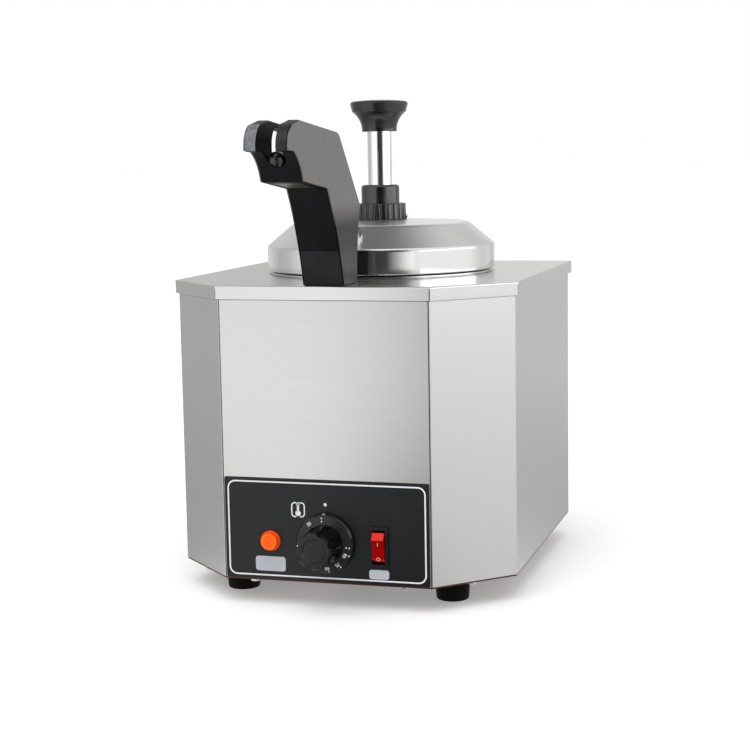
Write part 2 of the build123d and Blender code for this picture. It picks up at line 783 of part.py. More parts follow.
# ---------------------------------------------------------------- spout arm
def arm_outline(inset=0.0):
    """Side view of the spout arm, in depth behind the deck's front edge and height over the deck."""
    front_foot = (arm_base_front, 0.0)
    step_in = (-99.2, tube_height + 4.4)
    ear_foot = (-arm_reach, tube_height + 5.0)
    ear_top = (-95.0, tube_height + 23.2)
    crown = (-85.0, arm_top)
    shoulder = (tube_corner_depth - 30.1, tube_height + 18.1)
    elbow = (tube_corner_depth - 18.5, tube_height + 12.4)
    heel = (47.4, 56.3)
    rear_foot = (arm_base_rear, 0.0)
    edges = [
        ThreePointArc(front_foot, (-8.2, 33.0), arm_throat),
        Line(arm_throat, arm_chin),
        ThreePointArc(arm_chin, (-87.0, tube_height - 4.0), step_in),
        Line(step_in, ear_foot),
        ThreePointArc(ear_foot, (-107.9, tube_height + 16.6), ear_top),
        Line(ear_top, crown),
        Line(crown, shoulder),
        ThreePointArc(shoulder, (tube_corner_depth - 22.7, tube_height + 16.2), elbow),
        Line(elbow, heel),
        ThreePointArc(heel, (39.6, 30.0), rear_foot),
        Line(rear_foot, front_foot),
    ]
    face = make_face(Wire(edges))
    if inset:
        face = offset(face, amount=-inset)
    return Plane.YZ * Pos(front_y, deck_z) * face


def arm_slab(x0, x1, inset=0.0):
    """The arm's side view pulled out between two distances from the arm's middle."""
    return Pos(arm_x + x0, 0, 0) * extrude(arm_outline(inset), x1 - x0)


def groove_line():
    """Middle line of the slot's round floor, up the diagonal and along the arm to its nose."""
    lift = arm_slot_r - tube_r - tube_rest_gap
    back = lift * (math.sqrt(2) - 1)
    points = [
        (0, y_at(back - arm_reach - 20.0), z_at(tube_height + lift)),
        (0, y_at(tube_corner_depth + back), z_at(tube_height + lift)),
        (0, y_at(78.0 + back), z_at(tube_diagonal - 78.0 + lift)),
    ]
    return FilletPolyline(*points, radius=[tube_high_bend])


def arm_groove():
    """Open slot that the discharge tube drops into from above, round at its floor."""
    path = groove_line()
    section = Plane(origin=path @ 0, z_dir=path % 0) * Circle(arm_slot_r)
    floor = sweep(section, path=path)
    start = path @ 0
    end = path @ 1
    roof = z_at(arm_top + 20.0)
    far_top = (0, end.Y, roof)
    near_top = (0, start.Y, roof)
    sides = [Line(end, far_top), Line(far_top, near_top), Line(near_top, start)]
    opening = make_face(Wire(list(path.edges()) + sides))
    return Pos(arm_x, 0, 0) * (floor + extrude(opening, arm_slot_r, both=True, dir=(1, 0, 0)))


def ear_window():
    """Cut-out behind the left ear."""
    sill = tube_height + 4.5
    points = [
        (-79.2, sill), (-24.0, sill, 6.0), (-24.0, tube_height + 15.8, 4.0), (-79.2, tube_height + 21.5, 11.0),
    ]
    return Plane.YZ * Pos(front_y, deck_z) * outline(points)


def below_split():
    """Everything in the arm below its joint with the foot."""
    return block(-arm_width, arm_width, y_at(-20.0), y_at(80.0), z_at(-5.0), z_at(arm_split))


def arm_bores():
    """Lead channel up the arm and the heater's bore under the slot."""
    bore_z = z_at(tube_height - tube_r - tube_rest_gap - 2.4 - cartridge_r)
    channel = rod_z(lead_channel_r, z_at(-1.0), bore_z, arm_x, arm_wire_y)
    bore_end = arm_wire_y + lead_channel_r + 1.0
    return channel + rod_y(cartridge_r + hole_play, y_at(-68.0), bore_end, arm_x, bore_z)


def spout_base():
    """Foot of the arm, screwed to the deck from below."""
    base = arm_slab(-arm_half, arm_half) & below_split()
    base -= arm_bores()
    return drill_z(base, arm_screw_places, screw_r, z_at(-1.0), z_at(14.0))


def cover_line():
    """Strip under the chin: outline of the cover plate in depth and height."""
    rise = (arm_chin[1] - arm_throat[1]) / (arm_throat[0] - arm_chin[0])
    rear = -36.0
    front = -72.0
    low_rear = arm_throat[1] + rise * (arm_throat[0] - rear)
    low_front = arm_throat[1] + rise * (arm_throat[0] - front)
    lower = [(rear, low_rear), (front, low_front)]
    points = lower + [(front, low_front + arm_cover), (rear, low_rear + arm_cover)]
    return Plane.YZ * Pos(front_y, deck_z) * outline(points)


def spout_housing():
    """Black body of the arm with the slot, the window by the left ear and the heater's bore."""
    housing = arm_slab(-arm_half, arm_half) - below_split()
    housing -= arm_groove()
    housing -= Pos(arm_x - arm_half - 1.0, 0, 0) * extrude(ear_window(), arm_half + 1.0 - arm_slot_r + 1.0)
    housing -= arm_bores()
    return housing - spout_under_cover()


def spout_side_plate(side):
    """Brushed plate on one side of the arm; the left one has the window."""
    if side > 0:
        return arm_slab(arm_half, arm_width / 2, arm_plate_inset)
    plate = arm_slab(-arm_width / 2, -arm_half, arm_plate_inset)
    return plate - Pos(arm_x - arm_width / 2 - 1.0, 0, 0) * extrude(ear_window(), arm_plate + 2.0)


def spout_under_cover():
    """Small steel cover under the chin."""
    return Pos(arm_x, 0, 0) * extrude(cover_line(), arm_cover_half, both=True)


def spout_cartridge():
    """Heater cartridge in the arm."""
    bore_z = z_at(tube_height - tube_r - tube_rest_gap - 2.4 - cartridge_r)
    return rod_y(cartridge_r, y_at(-67.0), y_at(8.0), arm_x, bore_z)


# ---------------------------------------------------------------- jar and lid
def food_jar():
    """Deep jar that hangs in the well by its flange."""
    inner = jar_outer_r - sheet
    under = well_flange + seat_gap
    points = [
        (0, -jar_depth), (jar_outer_r, -jar_depth, jar_corner), (jar_outer_r, under), (jar_flange_r, under),
        (jar_flange_r, under + sheet), (inner, under + sheet),
        (inner, sheet - jar_depth, jar_corner - sheet), (0, sheet - jar_depth),
    ]
    return spun(points, 0, pump_y, deck_z)


def lid_shell():
    """Spun lid without the tube's hole: flat middle, cone, upright rim and an inner locating lip."""
    bottom = well_flange + sheet + 2 * seat_gap
    lip_outer = jar_outer_r - sheet - lid_lip_play
    points = [
        (cylinder_r + hole_play, lid_height), (lid_flat_r, lid_height), (lid_top_r, lid_top_edge, 7.0),
        (lid_r, lid_rim_top, 3.0), (lid_r, bottom, 0.8), (lip_outer, bottom),
        (lip_outer, bottom - lid_lip_drop),
        (lip_outer - sheet, bottom - lid_lip_drop), (lip_outer - sheet, bottom + sheet),
        (lid_r - sheet, bottom + sheet), (lid_r - sheet, lid_rim_top - 0.45, 2.0),
        (lid_top_r - 0.4, lid_top_edge - sheet, 6.0), (lid_flat_r, lid_height - sheet),
        (cylinder_r + hole_play, lid_height - sheet),
    ]
    return spun(points, 0, pump_y, deck_z)


def diagonal_ends():
    """Lower and upper corner of the discharge tube; the upper one lies in the arm's middle."""
    low = Vector(0, y_at(tube_depth), z_at(tube_diagonal - tube_depth))
    high = Vector(arm_x, y_at(tube_corner_depth), z_at(tube_height))
    return low, high


def on_diagonal(length, r, centre_depth):
    """Round bar along the diagonal of the discharge tube, centred at a depth."""
    low, high = diagonal_ends()
    share = (tube_depth - centre_depth) / (tube_depth - tube_corner_depth)
    return Plane(origin=low + (high - low) * share, z_dir=high - low) * Cylinder(r, length)


def lid_hole_depth():
    """Depth at which the tube's diagonal meets the cone of the lid."""
    slope = (lid_top_edge - lid_rim_top) / (lid_r - lid_top_r)
    rim_depth = well_depth_from_front - lid_r
    return (tube_diagonal - lid_rim_top + slope * rim_depth) / (1 + slope)


def lid():
    """Lid with the hole that the discharge tube passes through."""
    return lid_shell() - on_diagonal(14.0, tube_r + ferrule_wall, lid_hole_depth())


def tube_ferrule():
    """Rolled ring round the tube where it passes the lid."""
    centre = lid_hole_depth()
    ring = on_diagonal(ferrule_length, tube_r + ferrule_rim, centre)
    return ring - on_diagonal(2 * ferrule_length, tube_r, centre) - lid()


# ---------------------------------------------------------------- pump
def pump_cylinder():
    """Pump barrel with the flange that clamps it under the lid."""
    flange_top = lid_height - sheet - gasket
    points = [
        (cylinder_bore_r, cylinder_bottom), (cylinder_r, cylinder_bottom),
        (cylinder_r, flange_top - cylinder_flange), (cylinder_flange_r, flange_top - cylinder_flange),
        (cylinder_flange_r, flange_top), (cylinder_r, flange_top),
        (cylinder_r, cylinder_top), (cylinder_bore_r, cylinder_top),
    ]
    return spun(points, 0, pump_y, deck_z)


def lid_gasket():
    """Flat seal between the barrel's flange and the lid."""
    top = lid_height - sheet
    bottom = top - gasket
    points = [(cylinder_r, bottom), (cylinder_flange_r, bottom), (cylinder_flange_r, top), (cylinder_r, top)]
    return spun(points, 0, pump_y, deck_z)


def lock_nut():
    """Ribbed hand nut that holds barrel and collar to the lid."""
    bottom = lid_height + 0.1
    shelf = cylinder_top + 2.0 + seat_gap
    top = bottom + nut_height
    points = [
        (cylinder_r + running_fit, bottom), (nut_r, bottom, 0.5), (nut_r - 0.4, top, 1.2),
        (collar_r + seat_gap, top), (collar_r + seat_gap, shelf), (cylinder_r + running_fit, shelf),
    ]
    nut = spun(points)
    for step in range(nut_ribs):
        groove = Pos(nut_r + 0.3, 0, bottom - 1.0) * Cylinder(
            nut_groove_r, nut_height + 2.0, align=(Align.CENTER, Align.CENTER, Align.MIN)
        )
        nut -= Rot(0, 0, 360.0 / nut_ribs * step) * groove
    return Pos(0, pump_y, deck_z) * nut


def plunger_collar():
    """Guide collar on top of the barrel, bored for the plunger."""
    points = [
        (plunger_r + running_fit, cylinder_top - 8.0), (cylinder_bore_r - 0.1, cylinder_top - 8.0),
        (cylinder_bore_r - 0.1, cylinder_top), (cylinder_r - 0.1, cylinder_top),
        (cylinder_r - 0.1, cylinder_top + 2.0),
        (collar_r, cylinder_top + 2.0), (collar_r, collar_top, 2.6), (plunger_r + running_fit, collar_top),
    ]
    return spun(points, 0, pump_y, deck_z)


def plunger_shaft():
    """Polished plunger tube from the knob down to the piston."""
    inner = plunger_r - plunger_wall
    top = knob_bottom + 16.0
    points = [(inner, piston_top), (plunger_r, piston_top), (plunger_r, top), (inner, top)]
    return spun(points, 0, pump_y, deck_z)


def plunger_knob():
    """Push knob: shallow dome, bevelled rim and a hollow-cheeked neck."""
    top = knob_bottom + knob_height
    bore_top = knob_bottom + 16.0
    rim_low = knob_bottom + 15.4
    edges = [
        Line((0, bore_top), (plunger_r, bore_top)),
        Line((plunger_r, bore_top), (plunger_r, knob_bottom)),
        Line((plunger_r, knob_bottom), (knob_neck_r, knob_bottom)),
        ThreePointArc(
            (knob_neck_r, knob_bottom), (knob_neck_r + 2.1, knob_bottom + 9.4), (knob_r - 1.5, rim_low),
        ),
        Line((knob_r - 1.5, rim_low), (knob_r, top - 3.4)),
        ThreePointArc((knob_r, top - 3.4), (knob_r - 0.7, top - 1.9), (knob_r - 2.4, top - 1.2)),
        TangentArc((0, top), (knob_r - 2.4, top - 1.2), tangent=(1, 0)),
        Line((0, top), (0, bore_top)),
    ]
    return Pos(0, pump_y, deck_z) * revolve(Plane.XZ * make_face(Wire(edges)), Axis.Z)


def plunger_piston():
    """Piston with the groove for its seal and a spigot up into the plunger tube."""
    bottom = piston_top - piston_height
    r = cylinder_bore_r - 0.3
    points = [
        (0, bottom), (r, bottom, 0.6), (r, bottom + 4.0), (r - 2.4, bottom + 4.0), (r - 2.4, bottom + 8.0),
        (r, bottom + 8.0), (r, piston_top, 0.6), (plunger_r - plunger_wall, piston_top),
        (plunger_r - plunger_wall, piston_top + 12.0), (0, piston_top + 12.0),
    ]
    return spun(points, 0, pump_y, deck_z)


def piston_seal():
    """Seal ring of the piston."""
    bottom = piston_top - piston_height + 4.0
    inner = cylinder_bore_r - 0.3 - 2.4
    outer = cylinder_bore_r - running_fit
    points = [(inner, bottom), (outer, bottom), (outer, bottom + 4.0), (inner, bottom + 4.0)]
    return spun(points, 0, pump_y, deck_z)


def plunger_spring():
    """Return spring between the valve body and the piston."""
    low = seat_z + 0.2
    high = piston_top - piston_height - 0.2
    height = high - low - 2 * spring_wire_r
    path = Helix(pitch=height / spring_turns, height=height, radius=spring_mean_r)
    section = Plane(origin=path @ 0, z_dir=path % 0) * Circle(spring_wire_r)
    coil = sweep(section, path=path, is_frenet=True)
    return Pos(0, pump_y, z_at(low + spring_wire_r)) * coil


def valve_body():
    """Valve body under the barrel: ball cage, inlet, and the arm that feeds the discharge tube."""
    bottom = cylinder_bottom - 13.0
    cage_floor = cylinder_bottom - 8.0
    points = [
        (ball_seat_r, bottom), (cylinder_r, bottom, 2.0), (cylinder_r, cylinder_bottom),
        (cylinder_bore_r - 0.1, cylinder_bottom), (cylinder_bore_r - 0.1, seat_z), (5.0, seat_z),
        (5.0, seat_z - 1.5), (ball_r + 1.5, seat_z - 1.5), (ball_r + 1.5, cage_floor),
        (ball_seat_r, cage_floor),
    ]
    arm_z = cage_floor + 3.0
    socket_y = -tube_offset
    body = spun(points)
    body += block(-5.6, 5.6, socket_y, -cylinder_r + 2.0, bottom + 2.4, cylinder_bottom - 0.4)
    body += rod_z(8.0, bottom + 1.2, bottom + 26.0, 0, socket_y)
    body -= rod_y(2.4, socket_y, -ball_r, 0, arm_z)
    body -= rod_z(tube_r - tube_wall, arm_z - 3.2, bottom + 28.0, 0, socket_y)
    body -= rod_z(tube_r, tube_foot(), bottom + 28.0, 0, socket_y)
    return Pos(0, pump_y, deck_z) * body


def tube_foot():
    """Height of the lower end of the discharge tube."""
    return cylinder_bottom + 1.0


def inlet_ball():
    """Check ball on its seat."""
    rise = math.sqrt(ball_r ** 2 - ball_seat_r ** 2) + 0.3
    return Pos(0, pump_y, z_at(cylinder_bottom - 8.0 + rise)) * Sphere(ball_r)


def tube_nut():
    """Union nut on the socket of the valve body."""
    low = cylinder_bottom + 13.0
    nut = Pos(0, 0, low) * extrude(RegularPolygon(9.4, 6), 9.0)
    nut = nut - rod_z(tube_r, low - 1, low + 10.0)
    return Pos(0, pump_y - tube_offset, deck_z) * nut


def discharge_tube():
    """Bent tube from the valve body, out through the lid and along the arm."""
    low, high = diagonal_ends()
    path = FilletPolyline(
        (0, low.Y, z_at(tube_foot())), low, high, (arm_x, y_at(tube_front), high.Z),
        radius=[tube_low_bend, tube_high_bend],
    )
    plane = Plane(origin=path @ 0, z_dir=path % 0)
    outer = sweep(plane * Circle(tube_r), path=path)
    return outer - sweep(plane * Circle(tube_r - tube_wall), path=path)


def round_nose(r):
    """Bar from the tube's end to a round nose, in the line of the tube."""
    z = z_at(tube_height)
    tip = y_at(nozzle_reach)
    return rod_y(r, tip, y_at(tube_front), arm_x, z) + Pos(arm_x, tip, z) * Sphere(r)


def spout_nozzle():
    """Dark nose on the end of the tube, with its outlet facing down in front of the slot's floor."""
    bore_r = tube_r - nozzle_wall
    outlet = rod_z(bore_r, z_at(tube_height - 2 * tube_r), z_at(tube_height), arm_x, y_at(nozzle_reach))
    return round_nose(tube_r) - round_nose(bore_r) - outlet


# ---------------------------------------------------------------- write every node
def main():
    os.makedirs("parts", exist_ok=True)
    right_wrap = side_wrap()
    save("deck_cap", deck_cap())
    save("front_panel", front_panel())
    save("side_wrap_right", right_wrap)
    save("side_wrap_left", mirror(right_wrap, Plane.YZ))
    save("rear_panel", rear_panel())
    save("base_plate", base_plate())
    for name, (x, y) in foot_places.items():
        save(name, foot(x, y))
    save("foot_screws", *[foot_screw(x, y) for x, y in foot_places.values()])
    save("base_screws", *[pan_screw_up(x, y, foot_height) for x, y in base_screw_places])
    save("rear_screws", *[pan_screw_in(x, body_rear, z, 1) for x, z in rear_screw_places])

    save("control_fascia", control_fascia())
    save("heat_lamp_lens", heat_lamp_lens())
    save("heat_lamp_body", heat_lamp_body())
    save("power_switch_body", power_switch_body())
    save("power_rocker", power_rocker())
    save("thermostat_body", thermostat_body())
    save("thermostat_screws", *[pan_screw_in(x, fascia_front, z, -1) for x, z in thermostat_screw_places])
    save("dial_shaft", dial_shaft())
    save("dial_knob", dial_knob())

    save("heating_well", heating_well())
    save("insulation_jacket", insulation_jacket())
    save("heater_disc", heater_disc())
    save("heater_ring", heater_ring())
    save("heater_strap", heater_strap())
    save("heater_stud", heater_stud())
    save("safety_cutout", safety_cutout())
    save("sensor_bulb", sensor_bulb())
    save("capillary_tube", capillary_tube())
    save("terminal_block", terminal_block())
    save("power_inlet", power_inlet())
    save("inlet_pins", *inlet_pins())
    save("wiring_loom", *wiring_loom())

    save("spout_base", spout_base())
    save("spout_housing", spout_housing())
    save("spout_side_plate_left", spout_side_plate(-1))
    save("spout_side_plate_right", spout_side_plate(1))
    save("spout_under_cover", spout_under_cover())
    save("spout_cartridge", spout_cartridge())
    save("spout_base_screws", *[pan_screw_up(x, y, z_at(-sheet)) for x, y in arm_screw_places])

    save("food_jar", food_jar())
    save("lid", lid())
    save("lid_gasket", lid_gasket())
    save("tube_ferrule", tube_ferrule())
    save("pump_cylinder", pump_cylinder())
    save("lock_nut", lock_nut())
    save("plunger_collar", plunger_collar())
    save("plunger_shaft", plunger_shaft())
    save("plunger_knob", plunger_knob())
    save("plunger_piston", plunger_piston())
    save("piston_seal", piston_seal())
    save("plunger_spring", plunger_spring())
    save("valve_body", valve_body())
    save("inlet_ball", inlet_ball())
    save("tube_nut", tube_nut())
    save("discharge_tube", discharge_tube())
    save("spout_nozzle", spout_nozzle())


main()
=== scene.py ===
"""Dresses the hot topping warmer: rounded sheet metal, printed marks, finishes, studio and camera.

Metres.  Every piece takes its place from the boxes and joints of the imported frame.
"""
import json
import math

import bmesh
import bpy
from bpy.props import FloatProperty, FloatVectorProperty, PointerProperty
from mathutils import Matrix, Vector
from mathutils.bvhtree import BVHTree

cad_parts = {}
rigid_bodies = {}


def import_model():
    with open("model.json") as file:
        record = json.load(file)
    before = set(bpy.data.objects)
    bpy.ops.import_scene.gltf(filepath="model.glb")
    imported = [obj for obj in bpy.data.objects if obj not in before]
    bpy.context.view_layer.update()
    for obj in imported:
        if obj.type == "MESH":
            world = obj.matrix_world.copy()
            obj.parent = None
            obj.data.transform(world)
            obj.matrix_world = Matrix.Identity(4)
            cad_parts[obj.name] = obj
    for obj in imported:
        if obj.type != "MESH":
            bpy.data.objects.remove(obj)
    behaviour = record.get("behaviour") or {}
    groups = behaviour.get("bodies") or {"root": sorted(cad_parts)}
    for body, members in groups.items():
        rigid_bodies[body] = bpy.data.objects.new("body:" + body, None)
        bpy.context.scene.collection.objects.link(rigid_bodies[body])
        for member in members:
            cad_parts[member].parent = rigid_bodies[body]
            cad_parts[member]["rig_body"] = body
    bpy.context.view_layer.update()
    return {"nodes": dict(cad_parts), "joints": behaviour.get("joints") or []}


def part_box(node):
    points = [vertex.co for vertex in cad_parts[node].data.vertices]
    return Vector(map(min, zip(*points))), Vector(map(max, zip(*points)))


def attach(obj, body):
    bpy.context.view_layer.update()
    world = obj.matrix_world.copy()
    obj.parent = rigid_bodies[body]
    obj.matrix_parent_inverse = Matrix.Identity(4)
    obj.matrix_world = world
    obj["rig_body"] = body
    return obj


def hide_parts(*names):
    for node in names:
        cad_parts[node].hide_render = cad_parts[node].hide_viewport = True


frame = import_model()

bl_info = {
    "name": "Topping Warmer",
    "version": (1, 0, 0),
    "blender": (4, 5, 0),
    "location": "View3D > Sidebar > Topping Warmer",
    "description": "Dresses the packed topping warmer with rounded edges, printed marks, finishes and a studio",
    "category": "Add Mesh",
}

WHITE = (1.0, 1.0, 1.0, 1.0)
HERE = (0.0, 0.0, 0.0)
UPWARD = (0.0, 0.0, 1.0)

WELD = 0.00002  # vertices closer than this are one
MARK_SINK = 0.00008  # how far a mark on a curved face reaches into it
COLOUR_BLUR = 0.0003  # width of the change between two colours on one piece
FLAT_ANGLE = math.radians(1.0)  # faces within this are one flat face
EDGE_ANGLE = math.radians(30.0)  # edges sharper than this are rounded

RIM_DROP = 0.0200  # from the lid's top down to the upper edge of its rim
RIM_BLUR = 0.0006
LID_FLAT_DROP = 0.0022  # from the lid's top down to the edge of its flat

DRUM_RADIUS = 1.5  # round studio that only gloss sees
DRUM_HEIGHT = 1.9
DRUM_STRENGTH = 1.5
CARD_FOOT = 0.24  # height that the lid's rim reflects
FLOOR_SIZE = 60.0
FLOOR_GLOW = 0.25  # share that keeps the floor near white for the camera
DIFFUSE_SHARE = 0.55  # of the surround, for all light but the camera's and gloss


# ---- what a user would change
def length(name, description, default):
    """Length that the sidebar shows."""
    return FloatProperty(name=name, description=description, default=default, min=0.0, unit="LENGTH")


def colour(name, description, default):
    """Colour that the sidebar shows."""
    return FloatVectorProperty(
        name=name, description=description, default=default, size=3, min=0.0, max=1.0, subtype="COLOR"
    )


class WarmerSizes(bpy.types.PropertyGroup):
    """Small lengths of edges and printed marks."""

    deck_bend: length("Deck bend", "Rounding of the folded edge round the deck", 0.0012)
    sheet_edge: length("Sheet edge", "Rounding of the edges of folded sheet", 0.0004)
    moulded_edge: length("Moulded edge", "Rounding of the edges of moulded pieces", 0.0006)
    fine_edge: length("Fine edge", "Rounding of the edges of small pieces", 0.00025)
    nut_edge: length("Nut edge", "Rounding of the edges of the lock nut's ribs", 0.00018)
    print_height: length("Print height", "How far printed marks stand over their plate", 0.00006)
    outline_inset: length("Outline inset", "From the edge of the control plate to its printed outline", 0.0023)
    outline_width: length("Outline width", "Width of the printed outline", 0.0011)
    outline_corner: length("Outline corner", "Corner radius of the printed outline", 0.006)
    sign_width: length("Sign width", "Width of the thermometer sign's bracket", 0.0105)
    sign_height: length("Sign height", "Height of the thermometer sign's bracket", 0.0112)
    sign_line: length("Sign line", "Line width of the thermometer sign", 0.0009)
    label_corner: length("Label corner", "Corner radius of the grey label plates", 0.0022)
    label_height: length("Label height", "Thickness of the grey label plates", 0.0005)
    numeral_height: length("Numeral height", "Height of the numerals on the dial", 0.0036)
    dot_radius: length("Dot radius", "Radius of the dots on the dial", 0.00055)


class WarmerColours(bpy.types.PropertyGroup):
    """Base colours of the finishes."""

    steel: colour("Steel", "Brushed steel of the cabinet", (0.70, 0.70, 0.69))
    # The skirt and the deck are one folded sheet; their two steel colours, lighter on the skirt and darker on the
    # top, are painted light.
    skirt_steel: colour("Skirt steel", "Brushed steel of the deck's skirt", (0.74, 0.735, 0.72))
    deck_steel: colour("Deck steel", "Brushed steel of the deck", (0.66, 0.655, 0.645))
    lid_steel: colour("Lid steel", "Turned steel of the lid", (0.80, 0.80, 0.795))
    arm_steel: colour("Arm steel", "Darker brushed plates of the spout arm", (0.228, 0.222, 0.214))
    chrome: colour("Chrome", "Polished plunger", (0.93, 0.93, 0.94))
    arm_black: colour("Arm black", "Body of the spout arm", (0.0048, 0.0051, 0.0062))
    base_black: colour("Arm foot black", "Foot of the spout arm", (0.0092, 0.0098, 0.0118))
    # The next colour is a painted sheen on the fronts of the arm's ears, in place of reflected light, not real
    # rubbing.
    arm_painted_sheen: colour("Arm worn", "Rubbed fronts of the arm's ears", (0.185, 0.19, 0.205))
    pump_black: colour("Pump black", "Knob, collar and lock nut", (0.0045, 0.0048, 0.0058))
    plate_black: colour("Plate black", "Control plate", (0.0046, 0.0056, 0.0074))
    dial_black: colour("Dial black", "Dial and switch frame", (0.0062, 0.0064, 0.0066))
    rocker_red: colour("Rocker red", "Rocker of the power switch", (0.33, 0.0018, 0.0020))
    # The next colour is painted light: a brighter red for the rocker's end faces.
    rocker_painted_light: colour("Rocker ends", "Lit ends of the rocker", (0.72, 0.022, 0.018))
    lens_orange: colour("Lens orange", "Lens of the heating lamp", (1.0, 0.105, 0.006))
    base_brown: colour("Base brown", "Paint of the base plate", (0.085, 0.015, 0.012))
    foot_brown: colour("Foot brown", "Rubber of the feet", (0.0035, 0.0020, 0.0019))
    print_white: colour("Print white", "Printed marks", (0.84, 0.85, 0.86))
    label_grey: colour("Label grey", "Bare label plates", (0.49, 0.52, 0.56))


# ---- places in the frame
def span(node):
    """Size of a node's box."""
    low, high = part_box(node)
    return high - low


def centre(node):
    """Middle of a node's box."""
    low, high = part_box(node)
    return (low + high) / 2


def deck_top():
    """Height of the deck."""
    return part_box("deck_cap")[1].z


def plate_front():
    """Front face of the control plate."""
    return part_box("control_fascia")[0].y


def pump_axis():
    """Middle line of the pump, jar and lid."""
    return Vector((centre("plunger_shaft").x, centre("plunger_shaft").y, 0.0))


# ---- pieces
def mesh_of(bm, name):
    """Mesh of a bmesh, which is freed."""
    mesh = bpy.data.meshes.new(name)
    bm.to_mesh(mesh)
    bm.free()
    return mesh


def add_to(target, bm):
    """Adds one bmesh to another and frees it."""
    carrier = mesh_of(bm, "carrier")
    target.from_mesh(carrier)
    bpy.data.meshes.remove(carrier)


def linked(name, data):
    """New object in the scene."""
    made = bpy.data.objects.new(name, data)
    bpy.context.scene.collection.objects.link(made)
    return made


def make_piece(bm, name, body, material):
    """Object of a finished bmesh, smooth-shaded, riding on a body."""
    for face in bm.faces:
        face.smooth = True
    mesh = mesh_of(bm, name)
    mesh.materials.append(material)
    piece = linked(name, mesh)
    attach(piece, body)
    return piece


def round_edges(piece, width, segments=3):
    """Bevel on every edge sharper than the edge angle."""
    bevel = piece.modifiers.new("edges", "BEVEL")
    bevel.width = width
    bevel.segments = segments
    bevel.limit_method = "ANGLE"
    bevel.angle_limit = EDGE_ANGLE
    bevel.use_clamp_overlap = False
    bevel.harden_normals = False
    flat = piece.modifiers.new("normals", "WEIGHTED_NORMAL")
    flat.weight = 100
    return piece


def weigh_edges(piece, share):
    """Bevels the edges round a piece's top by the full width and its other sharp edges by a share."""
    top = max(vertex.co.z for vertex in piece.data.vertices) - WELD
    bm = bmesh.new()
    bm.from_mesh(piece.data)
    weights = bm.edges.layers.float.new("bevel_weight_edge")
    for edge in bm.edges:
        if len(edge.link_faces) == 2 and edge.calc_face_angle() > EDGE_ANGLE:
            edge[weights] = 1.0 if min(vertex.co.z for vertex in edge.verts) > top else share
    bm.to_mesh(piece.data)
    bm.free()
    piece.modifiers["edges"].limit_method = "WEIGHT"


def merged(node):
    """Bmesh copy of a node with its triangles merged into flat faces."""
    bm = bmesh.new()
    bm.from_mesh(frame["nodes"][node].data)
    bmesh.ops.remove_doubles(bm, verts=bm.verts, dist=WELD)
    bmesh.ops.dissolve_limit(
        bm, angle_limit=FLAT_ANGLE, verts=bm.verts, edges=bm.edges, use_dissolve_boundaries=False
    )
    return bm


def rounded_copy(node, width, material, segments=3):
    """Piece that stands for a node: the same shape, body and slot, with rounded edges."""
    body = frame["nodes"][node]["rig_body"]
    piece = make_piece(merged(node), node + "_rounded", body, material)
    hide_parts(node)
    return round_edges(piece, width, segments)


def finish_nodes(material, *nodes):
    """Gives nodes a finish and leaves their shape as it is."""
    for node in nodes:
        mesh = frame["nodes"][node].data
        mesh.materials.clear()
        mesh.materials.append(material)


# ---- flat marks
def disc(bm, radius, place=HERE, segments=24):
    """Flat disc, facing up."""
    spot = Matrix.Translation(place)
    bmesh.ops.create_circle(bm, cap_ends=True, segments=segments, radius=radius, matrix=spot)


def bar(bm, width, height, place=HERE):
    """Flat rectangle, facing up; gives its corners."""
    shape = Matrix.Translation(place) @ Matrix.Diagonal((width, height, 1.0, 1.0))
    return bmesh.ops.create_grid(bm, x_segments=1, y_segments=1, size=0.5, matrix=shape)["verts"]


def rounded_plate(bm, width, height, corner, segments=8):
    """Flat rounded rectangle about the origin, facing up."""
    bmesh.ops.bevel(
        bm, geom=bar(bm, width, height), offset=corner, offset_type="OFFSET", segments=segments, profile=0.5,
        affect="VERTICES", material=-1,
    )
    return max(bm.faces, key=lambda face: face.calc_area())


def rounded_ring(bm, width, height, corner, line, segments=8):
    """Flat rounded outline about the origin."""
    face = rounded_plate(bm, width, height, corner, segments)
    bmesh.ops.inset_individual(bm, faces=[face], thickness=line, depth=0.0)
    bmesh.ops.delete(bm, geom=[face], context="FACES")


def thicken(bm, thickness, place):
    """Raises flat faces into solid plates, from the back at zero, and moves them to their place."""
    bmesh.ops.recalc_face_normals(bm, faces=bm.faces)
    for face in bm.faces:
        if face.normal.z < 0:
            face.normal_flip()
    risen = bmesh.ops.extrude_face_region(bm, geom=bm.faces[:])["geom"]
    verts = [item for item in risen if isinstance(item, bmesh.types.BMVert)]
    bmesh.ops.translate(bm, verts=verts, vec=(0.0, 0.0, thickness))
    bmesh.ops.recalc_face_normals(bm, faces=bm.faces)
    bmesh.ops.transform(bm, matrix=place, verts=bm.verts)


def mark(bm, name, body, material):
    """Printed or stuck-on piece with flat faces."""
    piece = make_piece(bm, name, body, material)
    for face in piece.data.polygons:
        face.use_smooth = False
    return piece


def plate_mark(bm, name, material, thickness, x, z):
    """Flat faces about the origin, made a plate and set upright on the control plate."""
    thicken(bm, thickness, Matrix.Translation((x, plate_front(), z)) @ Matrix.Rotation(math.pi / 2, 4, "X"))
    return mark(bm, name, "cabinet", material)


